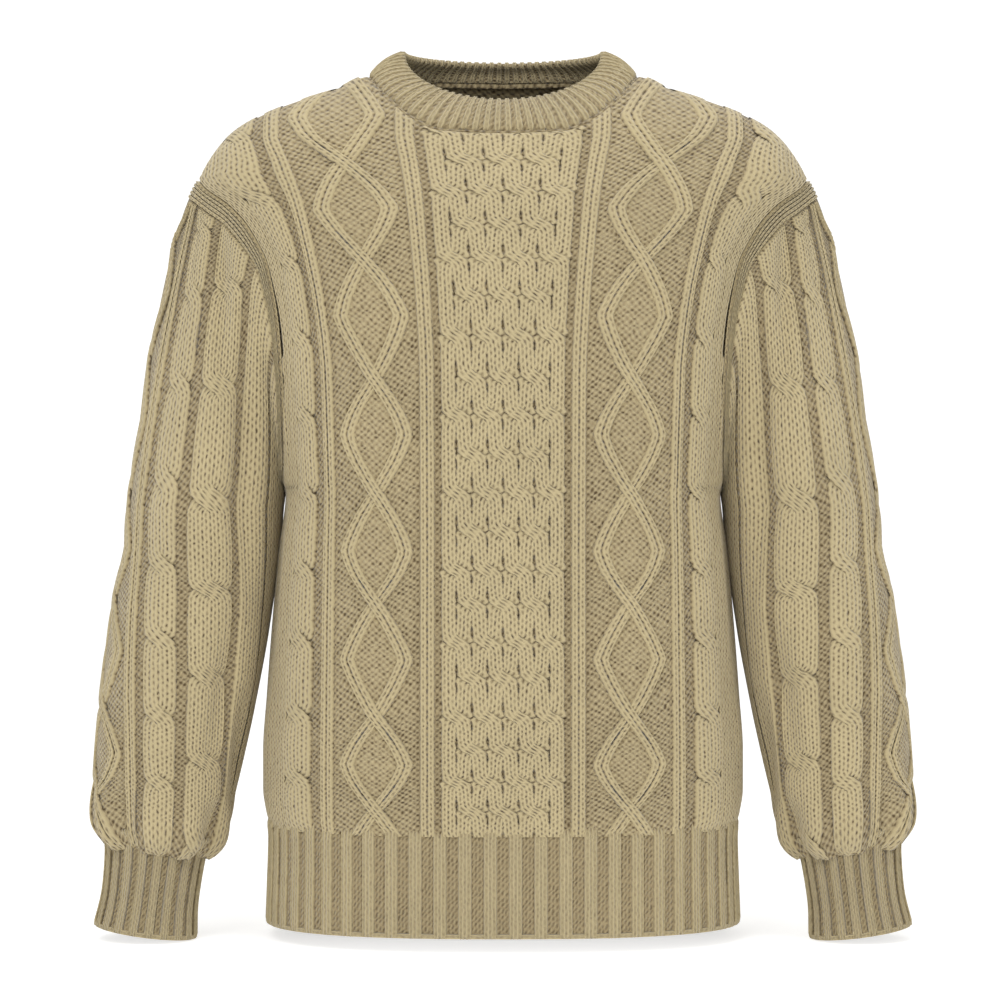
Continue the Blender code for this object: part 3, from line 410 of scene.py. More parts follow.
# How the sleeve hangs over its cuff, and how deep the cuff's ribs show through there
RIB_WAVE = 1.0
BLOUSE_Z = -594.0

# Ribs: their share of a period, their run under the piece above, and how they crowd to the sides
RIB_SHARE = 0.56
RIB_SHARE_ADDED = 0.26
CUFF_RIB_SHARE = 0.66
NECK_RIB_SHARE = 0.72
RIB_OVERLAP = 9.0
RIB_TURN_IN = 8.0
RAGGED = 2.4
HEM_CROWDING = 0.22
CAST_ON_HALF = 2.0
CAST_ON_RISE = 1.7
CAST_ON_FOOT = -0.3

# How a piece sinks and thins out at its seams
SEAM_SINK = 0.7
SINK_REACH = 3.0
SEAM_REACH = 3.5
SHOULDER_REACH = 14.0
SHOULDER_START_Z = -90.0
SHOULDER_SPAN = 60.0
HEM_REACH = 8.0
HEM_KEPT = 0.35
CUFF_REACH = 12.0
HEM_LAP = 1.2

# The shells' grids, and the painted shade of their ground as lightness from 1 down to 0: how light it looks
# in the diamond fields, gutters and slots, on plain ground and inside
GRID_STEP = 5.5
PANEL_HEAD_ROWS = 64
SLEEVE_COLUMNS = 72
SLEEVE_ROWS = 49
SLEEVE_HEAD_ROWS = 46
FIELD_HALF = 33.0
FIELD_SHADE_LEVEL = 0.85
GUTTER_SHADE_LEVEL = 0.4
SLOT_SHADE_LEVEL = 0.0
PLAIN_SHADE_LEVEL = 0.2
INSIDE_SHADE_LEVEL = 0.35
SHARP_EDGE = 85
SQUEEZED = 0.02
NORMAL_STEP = 1.5

# Wool: its unevenness, and the scale of its fibres, stitches and patches, per metre
UNEVEN = (0.3, 0.9, 0.0)
FIBRES = 900.0
STITCHES = 210.0
PATCHES = 22.0

# The stage, in metres: the paper's painted glow from front to back, brighter at the front to lift the
# shadow under the hem, and the picture's frame
PAPER_GLOW = 0.64
PAPER_GLOW_FRONT = 0.9
GLOW_FRONT_Y = -0.13
GLOW_BACK_Y = 0.0
FRAME_WIDTH = 0.82656
SENSOR = 36.0
EYE = (0.0008, -0.344)

# ---------------------------------------------------------------- curves


def table(rows, key, value):
    """A smooth monotone curve through two columns of a table, for numbers and arrays."""
    ordered = sorted(rows, key=lambda row: getattr(row, key))
    xs = np.array([getattr(row, key) for row in ordered], float)
    ys = np.array([getattr(row, value) for row in ordered], float)
    steps = np.diff(xs)
    slopes = np.diff(ys) / steps
    tangents = np.zeros(len(xs))
    tangents[0], tangents[-1] = slopes[0], slopes[-1]
    for i in range(1, len(xs) - 1):
        if slopes[i - 1] * slopes[i] > 0:
            before = 2 * steps[i] + steps[i - 1]
            after = steps[i] + 2 * steps[i - 1]
            tangents[i] = (before + after) / (before / slopes[i - 1] + after / slopes[i])

    def curve(x):
        x = np.clip(x, xs[0], xs[-1])
        i = np.clip(np.searchsorted(xs, x) - 1, 0, len(xs) - 2)
        t = (x - xs[i]) / steps[i]
        rest = 1 - t
        return (
            ys[i] * (1 + 2 * t) * rest**2
            + ys[i + 1] * (1 + 2 * rest) * t**2
            + steps[i] * t * rest * (tangents[i] * rest - tangents[i + 1] * t)
        )

    return curve


def fade(x):
    """0 below x = 0, 1 above x = 1, smooth between."""
    x = np.clip(x, 0.0, 1.0)
    return x * x * (3 - 2 * x)


def bell(x):
    """1 at x = 0, dying away on both sides."""
    return np.exp(-x * x)


def hump(x):
    """1 at x = 0 and 0 from 1 away on, like a parabola."""
    return np.maximum(0.0, 1 - x * x)


def wave(x):
    """0 at whole numbers, 1 halfway between them, rounded at the top."""
    x = x % 1
    return 0.55 * (1 - np.abs(2 * x - 1)) + 0.45 * np.sin(math.pi * x)


def unit(v):
    """Vectors made one long."""
    return v / np.maximum(np.linalg.norm(v, axis=-1, keepdims=True), 1e-9)


def running(steps):
    """Where every point lies along a row of points, from the steps between them."""
    return np.concatenate([[0], np.cumsum(steps)])


def along_loop(points):
    """Directions along a closed row of points."""
    return unit(np.roll(points, -1, axis=0) - np.roll(points, 1, axis=0))


def facing(surface, a, b):
    """Normals of a surface at a and b, from points a step away on each side."""
    across = surface(a + NORMAL_STEP, b) - surface(a - NORMAL_STEP, b)
    up = surface(a, b + NORMAL_STEP) - surface(a, b - NORMAL_STEP)
    return unit(np.cross(across, up))


half_width_at = table(BODY_SECTIONS, "z", "half_width")
depth_at = {-1: table(BODY_SECTIONS, "z", "front"), 1: table(BODY_SECTIONS, "z", "back")}
seam_x_at = table(ARMHOLE_SEAM, "z", "x")
seam_u_at = table(ARMHOLE_SEAM, "z", "u")
shoulder_z_at = table(SHOULDER_LINE, "x", "z")
shoulder_drop_at = table(SHOULDER_LINE, "x", "drop")
neck_z_at = {-1: table(NECK_LINE, "x", "front"), 1: table(NECK_LINE, "x", "back")}
row_at = table(COURSES, "z", "row")
z_of_row = table(COURSES, "row", "z")
stretch_at = table(STRETCHES, "z", "share")
ring_curves = {name: table(SLEEVE_RINGS, "z", name) for name in Ring._fields[1:]}
w_of_share = table(SLEEVE_HEAD, "share", "w")
border_at = table(HEAD_BORDER, "w", "width")

# ---------------------------------------------------------------- the mesh of a piece

KNIT, PURL, MOSS, RIB, VALLEY = range(5)


def corners_of(values):
    """The four corners of every cell of a grid, down the left side and up the right."""
    return np.stack([values[:-1, :-1], values[1:, :-1], values[1:, 1:], values[:-1, 1:]], axis=2)


class Knitting:
    """Gathers grids of points into one mesh with a stitch map."""

    def __init__(self):
        self.points, self.rises, self.loops, self.sizes, self.uvs, self.kinds = [], [], [], [], [], []
        self.count = 0

    def grid(self, points, rise, uv, kind, closed=False, flipped=False):
        """Adds a grid of points. rise is their painted shade, from 1 unshaded down to 0. uv has one column
        more than the points of a closed grid.
        """
        rows, columns = points.shape[:2]
        index = self.count + np.arange(rows * columns).reshape(rows, columns)
        self.points.append(points.reshape(-1, 3))
        self.rises.append(np.broadcast_to(rise, (rows, columns)).reshape(-1))
        self.count += rows * columns
        around = np.hstack([index, index[:, :1]]) if closed else index
        quads = corners_of(around).reshape(-1, 4)
        quad_uvs = corners_of(uv).reshape(-1, 4, 2)
        if flipped:
            quads, quad_uvs = quads[:, ::-1], quad_uvs[:, ::-1]
        kinds = np.broadcast_to(kind, (rows - 1, around.shape[1] - 1)).reshape(-1)
        self.faces(quads, quad_uvs, kinds)
        return index

    def faces(self, corners, uvs, kinds):
        """Adds faces that all have the same number of corners."""
        self.loops.append(corners.reshape(-1))
        self.uvs.append(np.asarray(uvs, float).reshape(-1, 2))
        self.sizes.append(np.full(len(corners), corners.shape[1]))
        self.kinds.append(np.broadcast_to(kinds, (len(corners),)))

    def make(self, name):
        """Makes the piece, with its stitch map and the painted shade of each point, kept in its rise
        attribute.
        """
        mesh = bpy.data.meshes.new(name)
        points = np.concatenate(self.points) * MM
        loops = np.concatenate(self.loops)
        sizes = np.concatenate(self.sizes)
        mesh.vertices.add(len(points))
        mesh.vertices.foreach_set("co", points.ravel())
        mesh.loops.add(len(loops))
        mesh.loops.foreach_set("vertex_index", loops.astype(np.int32))
        mesh.polygons.add(len(sizes))
        starts = running(sizes)[:-1]
        mesh.polygons.foreach_set("loop_start", starts.astype(np.int32))
        mesh.polygons.foreach_set("material_index", np.concatenate(self.kinds).astype(np.int32))
        mesh.update(calc_edges=True)
        stitch_map = mesh.uv_layers.new(name="knit")
        stitch_map.uv.foreach_set("vector", np.concatenate(self.uvs).astype(np.float32).ravel())
        # The rise attribute holds each point's painted shade, not a height; the wool material darkens its
        # colour where it is low.
        rise = mesh.attributes.new("rise", "FLOAT", "POINT")
        rise.data.foreach_set("value", np.concatenate(self.rises).astype(np.float32))
        clean(mesh)
        mesh.shade_smooth()
        mesh.set_sharp_from_angle(angle=math.radians(SHARP_EDGE))
        for wool_face in (wool_knit_face, wool_purl_face, wool_moss_face, wool_rib_face, wool_rib_valley):
            mesh.materials.append(wool_face())
        piece = bpy.data.objects.new(name, mesh)
        bpy.context.scene.collection.objects.link(piece)
        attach(piece, ROOT)
        return piece


def clean(mesh):
    """Takes out faces that the seams have squeezed to nothing."""
    work = bmesh.new()
    work.from_mesh(mesh)
    bmesh.ops.dissolve_degenerate(work, edges=work.edges, dist=SQUEEZED * MM)
    work.to_mesh(mesh)
    work.free()


# A wale is a path in knit coordinates with arrays of its half width, the height of its two legs and the
# heights at its left and right edges. number counts wales across the piece, course counts down it.
Wale = namedtuple("Wale", "a b half height left right number course")


class EdgeCord(Wale):
    """A wale that runs across the piece."""


def knit_wale(knitting, cloth, wale, kind=KNIT):
    """Lays one wale on the cloth as a closed cord: edge, leg, groove, leg, edge and a sunk underside."""
    along_b = isinstance(wale, EdgeCord)
    shape = (len(wale.a), len(ACROSS))
    offset = ACROSS * np.broadcast_to(wale.half, wale.a.shape)[:, None]
    a = np.broadcast_to(wale.a[:, None], shape) + (0 if along_b else offset)
    b = np.broadcast_to(wale.b[:, None], shape) + (offset if along_b else 0)
    height = np.broadcast_to(wale.height, wale.a.shape)
    edges = [np.broadcast_to(edge, height.shape) for edge in (wale.left, wale.right)]
    under = np.minimum(*edges) - UNDERSIDE
    rise = np.stack([edges[0], height, height - GROOVE, height, edges[1], under], axis=1)
    held = cloth.holds(a, b).any(axis=1)
    if not held.any():
        return
    first, last = np.flatnonzero(held)[[0, -1]]
    keep = slice(max(first - 1, 0), min(last + 2, len(wale.a)))
    a, b, rise, course = a[keep], b[keep], rise[keep], wale.course[keep]
    points = cloth.place(a, b, rise)
    # Painted shade: the wale's colour darkens from its legs down to its edges and underside.
    painted_shade = np.clip(rise / np.maximum(height[keep][:, None], 1.0), 0, 1)
    across = np.append((ACROSS[:5] + 1) / 2, [1.0, 1.0])
    uv = np.stack(np.broadcast_arrays(wale.number + across[None, :], course[:, None]), axis=2)
    index = knitting.grid(points, painted_shade, uv, kind, closed=True)
    for ring, end, order in ((index[0], 0, 1), (index[-1], -1, -1)):
        knitting.faces(ring[None, ::order], uv[end][None, : len(ACROSS)][:, ::order], kind)


def knit_shell(knitting, outer, inner, uv, kinds, closed, painted_lightness=PLAIN_SHADE_LEVEL):
    """A closed wall from an outer and an inner grid of the same size. Its ground carries painted shade,
    darker in gutters, and its inside is painted darker too.
    """
    out = knitting.grid(outer, painted_lightness, uv, kinds, closed=closed)
    back = knitting.grid(inner, INSIDE_SHADE_LEVEL, uv, PURL, closed=closed, flipped=True)
    for row, order in ((0, 1), (-1, -1)):
        rim(knitting, out[row], back[row], uv[row], closed, order)
    if not closed:
        for column, order in ((0, -1), (-1, 1)):
            rim(knitting, out[:, column], back[:, column], uv[:, column], False, order)


def rim(knitting, out, back, uv, closed, order):
    """The edge of a wall, between the outer and the inner grid."""
    if closed:
        out, back = np.append(out, out[0]), np.append(back, back[0])
    quads = np.stack([out[:-1], out[1:], back[1:], back[:-1]], axis=1)
    uvs = np.stack([uv[:-1], uv[1:], uv[1:], uv[:-1]], axis=1)
    knitting.faces(quads[:, ::order], uvs[:, ::order], PURL)


# ---------------------------------------------------------------- body surface


QUARTER = np.linspace(0, math.pi / 2, 481)
TABLE_Z = np.arange(-691.0, 42.0)
TABLE_U = np.arange(0.0, PANEL_HALF + 1)


def panel_edge(z):
    """The panel's flat half width and its edge's x at a height."""
    below = z <= UNDERARM_Z
    return np.where(below, PANEL_HALF, seam_u_at(z)), np.where(below, half_width_at(z), seam_x_at(z))


def section_table(side):
    """x and y of every knit column at every height, before the shoulders round them off."""
    x_table = np.zeros((len(TABLE_Z), len(TABLE_U)))
    y_table = np.zeros_like(x_table)
    for i, z in enumerate(TABLE_Z):
        xs = half_width_at(z) * np.sin(QUARTER) ** (2 / SECTION_POWER)
        ys = depth_at[side](z) * np.cos(QUARTER) ** (2 / SECTION_POWER)
        lengths = running(np.hypot(np.diff(xs), np.diff(ys)))
        edge_u, edge_x = panel_edge(z)
        edge_length = np.interp(edge_x, xs, lengths)
        even_u = min(OUTER_CORD_U, float(edge_u))
        even_length = even_u * stretch_at(z)
        share = (TABLE_U - even_u) / (edge_u - even_u)
        at = np.where(
            TABLE_U <= even_u, TABLE_U * stretch_at(z), even_length + share * (edge_length - even_length)
        )
        x_table[i] = np.interp(at, lengths, xs)
        y_table[i] = np.interp(at, lengths, ys)
    return x_table, y_table


class Panel:
    """The worn surface of the front or the back: side -1 is the front, 1 the back."""

    def __init__(self, side):
        self.side = side
        self.x_table, self.y_table = section_table(side)
        self.top_table = self.find_tops()
        self.seam = self.find_seam()

    def section(self, u, z):
        """x and depth of a knit column at a height."""
        across = np.clip(np.abs(u), 0, PANEL_HALF - 1e-6)
        down = np.clip(z - TABLE_Z[0], 0, len(TABLE_Z) - 1.001)
        i, j = down.astype(int), across.astype(int)
        s, t = down - i, across - j

        def read(values):
            low = values[i, j] * (1 - t) + values[i, j + 1] * t
            high = values[i + 1, j] * (1 - t) + values[i + 1, j + 1] * t
            return low * (1 - s) + high * s

        return read(self.x_table), read(self.y_table)

    def find_tops(self):
        """Height of the top edge over each knit column."""
        us = TABLE_U
        neck, shoulder = np.full(us.shape, -20.0), np.full(us.shape, -30.0)
        for _ in range(14):
            neck = 0.5 * (neck + neck_z_at[self.side](self.section(us, neck)[0]))
            shoulder = 0.5 * (shoulder + shoulder_z_at(self.section(us, shoulder)[0]))
        shoulder = np.minimum(shoulder, shoulder_z_at(self.section(us, shoulder)[0]))
        curve_zs = np.linspace(UNDERARM_Z, ARMHOLE_STRAIGHT_Z, 200)
        armhole = np.interp(-us, -seam_u_at(curve_zs), curve_zs)
        return np.where(us < NECK_HALF, neck, np.where(us <= ARMHOLE_HALF, shoulder, armhole))

    def top(self, u):
        """Height of the top edge over a knit column."""
        return np.interp(np.abs(u), TABLE_U, self.top_table)

    def find_seam(self):
        """Points of the outline, in knit coordinates, that every rise dies away at."""
        us = np.arange(0.0, PANEL_HALF, 0.5)
        zs = np.arange(ARMHOLE_STRAIGHT_Z, SHOULDER_TIP_Z, 1.5)
        sides = np.arange(HEM_SEAM_Z, UNDERARM_Z, 2.0)
        top = np.stack([us, self.top(us)], axis=1)
        arm = np.stack([np.full(zs.shape, ARMHOLE_HALF), zs], axis=1)
        side = np.stack([np.full(sides.shape, PANEL_HALF), sides], axis=1)
        return np.concatenate([top, arm, side])

    def base(self, u, z):
        """A point of the surface before any fold."""
        x, y = self.section(u, z)
        below = np.clip((shoulder_z_at(x) - z) / shoulder_drop_at(x), 0, 1)
        y = y * (1 - (1 - below) ** SHOULDER_POWER) ** (1 / SHOULDER_POWER)
        return np.stack([x * np.sign(u), self.side * y, np.broadcast_to(z, x.shape)], axis=-1)

    def normal(self, u, z):
        """The way the surface faces, measured inside its edges."""
        edge_u, _ = panel_edge(z)
        u = np.sign(u) * np.minimum(np.abs(u), edge_u - 2)
        z = np.minimum(z, self.top(u) - 2)
        return facing(self.base, u, z) * -self.side

    def fold(self, u, z):
        """How far the body's soft folds go in."""
        depth = np.zeros(np.shape(u))
        for fold in BODY_FOLDS:
            along = np.clip((fold.top - z) / (fold.top - fold.bottom), 0, 1)
            depth += fold.depth * np.sin(math.pi * along) * hump((np.abs(u) - fold.u) / fold.width)
        return depth

    def holds(self, a, b):
        edge_u, _ = panel_edge(b)
        return (np.abs(a) < edge_u) & (b < self.top(a)) & (b > HEM_SEAM_Z)

    def place(self, a, b, rise):
        """Points a rise above the surface, kept inside the outline and sunk at its seams."""
        u = a * -self.side
        edge_u, _ = panel_edge(b)
        u = np.clip(u, -edge_u, edge_u)
        z = np.clip(b, HEM_SEAM_Z - HEM_LAP, self.top(u))
        gap = self.seam_distance(u, z)
        shoulder = fade((z - SHOULDER_START_Z) / SHOULDER_SPAN) * fade((np.abs(u) - NECK_HALF) / 8)
        reach = SEAM_REACH + (SHOULDER_REACH - SEAM_REACH) * shoulder
        rise = rise * fade(gap / reach) - SEAM_SINK * (1 - fade(gap / SINK_REACH))
        kept = HEM_KEPT + (1 - HEM_KEPT) * fade((z - HEM_SEAM_Z) / HEM_REACH)
        rise = np.where(rise > 0, rise * kept, rise)
        return self.base(u, z) + self.normal(u, z) * (rise - self.fold(u, z))[..., None]

    def seam_distance(self, u, z):
        """How far each point lies from the panel's outline."""
        flat_u, flat_z = np.abs(u).ravel(), z.ravel()
        nearest = np.zeros(flat_u.shape)
        batch = 4000
        for start in range(0, len(flat_u), batch):
            part = slice(start, start + batch)
            du = flat_u[part, None] - self.seam[None, :, 0]
            dz = flat_z[part, None] - self.seam[None, :, 1]
            nearest[part] = np.sqrt((du * du + dz * dz).min(axis=1))
        return nearest.reshape(np.shape(u))


# ---------------------------------------------------------------- seams


def dot(a, b):
    """Dot products of rows of vectors."""
    return (a * b).sum(axis=-1, keepdims=True)


def seam_directions(loop, outward, toward):
    """Directions along a closed seam: out through the wall, and across the seam towards `toward`."""
    along = along_loop(loop)
    outward = unit(outward - along * dot(along, outward))
    across = unit(np.cross(along, outward))
    return outward, across * np.where(dot(across, toward) < 0, -1.0, 1.0)


def read_rows(x, xs, rows):
    """Rows of vectors interpolated at x."""
    return np.stack([np.interp(x, xs, rows[:, k]) for k in range(rows.shape[1])], axis=-1)


# ---------------------------------------------------------------- sleeve surface


ARMHOLE_STEPS_Z = np.array([
    -335.0, -325.0, -300.0, -272.0, -244.0, -216.0, -190.0,
    -168.0, -148.0, -131.0, -115.0, -101.0, -89.0, -79.0,
])
ARMHOLE_FINE_Z = np.concatenate([np.linspace(-335, -300, 13)[:-1], np.linspace(-300, -79, 80)])


def armhole_side(panel, left, zs):
    """Half an armhole seam, from the underarm up to the shoulder."""
    points = panel.base(left * panel_edge(zs)[0], zs)
    points[[0, -1], 1] = 0
    return points


def seam_columns(points):
    """The sleeve columns that meet half an armhole seam, given from the shoulder down."""
    lengths = running(np.linalg.norm(np.diff(points, axis=0), axis=1))
    return w_of_share(lengths / lengths[-1])


def once_round(w):
    """A sleeve column counted from the outer line, once round the sleeve."""
    return (w + SLEEVE_HALF) % (2 * SLEEVE_HALF) - SLEEVE_HALF


def ring_point(left, w, z):
    """A point of the sleeve tube: w = 0 on the outer line, positive to the front."""
    ring = {name: curve(z) for name, curve in ring_curves.items()}
    angle = math.pi * w / SLEEVE_HALF + np.radians(ring["turn"])
    out = ring["half_width"] * np.cos(angle)
    x, y = ring["x"] + out, ring["y"] - ring["half_depth"] * np.sin(angle)
    return np.stack([left * x, y, z + out * np.tan(np.radians(ring["tilt"]))], axis=-1)


def blouse(z):
    """0 on the sleeve, 1 at the cuff's seam, over the stretch that hangs over the cuff."""
    return fade((BLOUSE_Z - z) / (BLOUSE_Z - CUFF_SEAM_Z))


class Sleeve:
    """The sleeve's surface: a tube below the underarm, and above it columns that bend to the armhole."""

    def __init__(self, left, front, back):
        self.left = left
        self.seam_w, self.outward, self.across = self.directions(front, back)
        down = armhole_side(front, left, ARMHOLE_FINE_Z)[::-1]
        up = armhole_side(back, left, ARMHOLE_FINE_Z)
        self.fine_w = np.concatenate([-seam_columns(up[::-1])[::-1], seam_columns(down)[1:]])
        self.fine_points = np.concatenate([up, down[1:]])

    def directions(self, front, back):
        """Columns round the armhole and the directions out of the cloth and over to the sleeve there."""
        left, zs = self.left, ARMHOLE_STEPS_Z
        edge = left * panel_edge(zs)[0]
        down, up = armhole_side(front, left, zs)[::-1], armhole_side(back, left, zs)
        loop = np.concatenate([down, up[1:-1]])
        bottom = len(zs) - 1
        normals = np.concatenate([front.normal(edge, zs)[::-1], back.normal(edge, zs)[1:-1]])
        normals[0] = unit(np.array([left * SHOULDER_OUT[0], 0, SHOULDER_OUT[1]]))
        ws = np.concatenate([seam_columns(down), -seam_columns(up[::-1])[::-1][1:-1]])
        sideways = np.array([left * 1.0, 0, 0])
        away = unit(ring_point(left, ws, np.full(ws.shape, TUBE_TOP_Z)) - loop)
        share = np.full((len(loop), 1), 0.5)
        share[0] = 0.3
        outward = normals * (1 - share) + unit(np.cross(along_loop(loop), away)) * left * share
        toward = away + sideways
        outward[bottom], toward[bottom] = (0, 0, -1), sideways
        outward, across = seam_directions(loop, outward, toward)
        order = list(range(bottom, len(loop))) + list(range(bottom + 1))
        ws = ws[order]
        ws[0] = -SLEEVE_HALF
        return ws, outward[order], across[order]

    def top(self, w):
        """Height in knit coordinates of the sleeve head over column w."""
        start = ring_point(self.left, w, np.full(np.shape(w), TUBE_TOP_Z))
        reach = np.linalg.norm(read_rows(w, self.fine_w, self.fine_points) - start, axis=-1)
        return TUBE_TOP_Z + np.maximum(reach, 6.0)

    def base(self, w, z):
        """A point of the surface before any crease."""
        w = once_round(w)
        tube = ring_point(self.left, w, z)
        start = ring_point(self.left, w, np.full(np.shape(w), TUBE_TOP_Z))
        reach = self.top(w)[..., None] - TUBE_TOP_Z
        t = np.clip((z[..., None] - TUBE_TOP_Z) / reach, 0, 1)
        climb = unit(np.array([-HEAD_LEAN * self.left, 0, 1.0])) * reach * HEAD_CLIMB
        leave = unit(read_rows(w, self.seam_w, self.across)) * reach * HEAD_LEAVE
        seam = read_rows(w, self.fine_w, self.fine_points)
        rest = 1 - t
        head = (
            start * rest**3
            + (start + climb) * 3 * t * rest**2
            + (seam + leave) * 3 * t**2 * rest
            + seam * t**3
        )
        return np.where(z[..., None] <= TUBE_TOP_Z, tube, head)

    def normal(self, w, z):
        """The way the surface faces, measured below the armhole."""
        z = np.minimum(z, self.top(w) - 2)
        return facing(self.base, w, z) * -self.left

    def creases(self, w, z):
        """How far the sleeve's creases go in."""
        depth = np.zeros(np.shape(w))
        for crease in SLEEVE_CREASES:
            along = np.clip((crease.top - z) / (crease.top - crease.bottom), 0, 1)
            line = crease.w + crease.slant * (along - 0.5)
            depth += crease.depth * np.sin(math.pi * along) * bell((np.abs(w) - line) / crease.width)
        return depth

    def gathers(self, w, z):
        """Puckers of the sleeve where it is drawn into the cuff, and the cuff's ribs showing through."""
        close = hump((z - PUCKER_Z) / PUCKER_REACH)
        turn = math.pi * w / SLEEVE_HALF
        waves = np.sin(PUCKERS * turn) + 0.8 * np.sin((PUCKERS - 4) * turn + 1)
        ribs = blouse(z) * np.cos(CUFF_RIBS * turn)
        return knit_size("pucker_depth") * close * waves - RIB_WAVE * ribs

    def holds(self, a, b):
        return (b < self.top(a * -self.left)) & (b > CUFF_SEAM_Z)

    def place(self, a, b, rise):
        """Points a rise above the surface, sunk at the armhole seam and at the cuff."""
        w = a * -self.left
        top = self.top(np.clip(w, -SLEEVE_HALF, SLEEVE_HALF))
        z = np.clip(b, CUFF_SEAM_Z + SEAM_GAP / 2, top)
        rise = rise * fade((top - z) / SEAM_REACH) * fade((z - CUFF_SEAM_Z) / CUFF_REACH)
        rise = rise - SEAM_SINK * (1 - fade((top - z) / SINK_REACH)) + self.gathers(w, z)
        rise = rise - self.creases(once_round(w), z)
        droop = knit_size("sleeve_droop") * blouse(z)
        down = np.stack([0 * droop, 0 * droop, -droop], axis=-1)
        return self.base(w, z) + self.normal(w, z) * rise[..., None] + down


class BelowBorder:
    """The sleeve's surface, with every wale ended under the border of the sleeve head."""

    def __init__(self, sleeve):
        self.sleeve = sleeve

    def line(self, a):
        """Height of the border's lower edge."""
        w = a * -self.sleeve.left
        return self.sleeve.top(w) - border_at(np.abs(w))

    def holds(self, a, b):
        return self.sleeve.holds(a, b) & (b < self.line(a))

    def place(self, a, b, rise):
        line = self.line(a)
        return self.sleeve.place(a, np.minimum(b, line), rise * fade((line - b) / SEAM_REACH))


# ---------------------------------------------------------------- ribs that turn over an edge


class FoldedRib:
    """A rib whose cloth turns over its edge.

    Its b runs from the edge, positive outside and negative inside. around is its stretched width.
    """

    def __init__(self, wall, length, around, overlap=0.0):
        self.length, self.around, self.overlap = length, around, overlap
        self.radius = wall / 2
        self.quarter = math.pi * self.radius / 2

    def holds(self, a, b):
        return (b > -self.length) & (b < self.length + self.overlap)

    def place(self, a, b, rise):
        """Points a rise above the rib, round its edge and up its inside, sunk a little at its seam."""
        b = np.clip(b, -self.length, self.length + self.overlap)
        flat = np.maximum(np.abs(b) - self.quarter, 0)
        turn = np.clip((self.quarter - b) / self.radius, 0, math.pi)
        point, normal, inward = self.frame(a, flat + self.radius * (1 - np.sin(turn)))
        across, over = np.cos(turn)[..., None], np.sin(turn)[..., None]
        rise = rise * fade((self.length + self.overlap - np.abs(b)) / SEAM_REACH)
        rise = rise - HEM_LAP * 0.5 * (b > self.length - 2 * HEM_LAP) * (rise < 0.1)
        out = normal * across - inward * over
        return point - normal * self.radius * (1 - across) + out * rise[..., None]


def level(v):
    """Directions turned into the horizontal."""
    return unit(v * np.array([1, 1, 0]))


class HemRib(FoldedRib):
    """The hem of one panel: a runs over its flat width, the edge is at the bottom."""

    def __init__(self, panel):
        super().__init__(RIB_WALL, HEM_SEAM_Z - HEM_Z - SEAM_GAP / 2, 2 * PANEL_HALF, RIB_OVERLAP)
        self.panel = panel

    def frame(self, a, away):
        u = np.clip(a * -self.panel.side, -PANEL_HALF, PANEL_HALF)
        z = HEM_Z + away
        edge = fade((PANEL_HALF - np.abs(u)) / 2)[..., None]
        sideways = np.stack([np.sign(u), 0 * u, 0 * u], axis=-1)
        normal = unit(level(self.panel.normal(u, z)) * edge + sideways * (1 - edge))
        return self.panel.base(u, z), normal, np.array([0, 0, 1.0])


class Cuff(FoldedRib):
    """The cuff of one sleeve: a tube, with its edge at the wrist."""

    def __init__(self, sleeve):
        super().__init__(RIB_WALL, CUFF_LENGTH - SEAM_GAP, CUFF_AROUND, RIB_OVERLAP)
        self.sleeve = sleeve
        lean = math.radians(ring_curves["tilt"](CUFF_SEAM_Z))
        self.axis = np.array([-sleeve.left * math.sin(lean), 0, math.cos(lean)])

    def tube(self, w, z):
        return ring_point(self.sleeve.left, w, z)

    def frame(self, a, away):
        left = self.sleeve.left
        w = a * -left
        z = CUFF_SEAM_Z - CUFF_LENGTH + away
        normal = facing(self.tube, w, z) * -left
        normal = unit(normal - self.axis * dot(normal, self.axis))
        return self.tube(w, z), normal, self.axis


NECK_STEPS_U = np.array([0, 14, 28, 42, 54, 64, 72, 78, 83.0])
NECK_FINE_U = np.linspace(0, NECK_HALF, 43)


def neck_turn(points):
    """Degrees round the neck: 0 at the front, growing towards +X."""
    depth = np.where(points[:, 1] < 0, NECK_FRONT, NECK_BACK)
    return np.degrees(np.arctan2(points[:, 0] / NECK_SIDE, -points[:, 1] / depth))


def rim_point(degrees):
    """A point of the neckband's rim."""
    turn = np.radians(degrees)
    front = np.cos(turn)
    reach = np.where(front > 0, RIM_FRONT, RIM_BACK)
    to_z = np.where(front > 0, RIM_FRONT_Z, RIM_BACK_Z)
    z = RIM_SIDE_Z + (to_z - RIM_SIDE_Z) * np.abs(front)
    return np.stack([RIM_HALF_WIDTH * np.sin(turn), -reach * front, z], axis=-1)


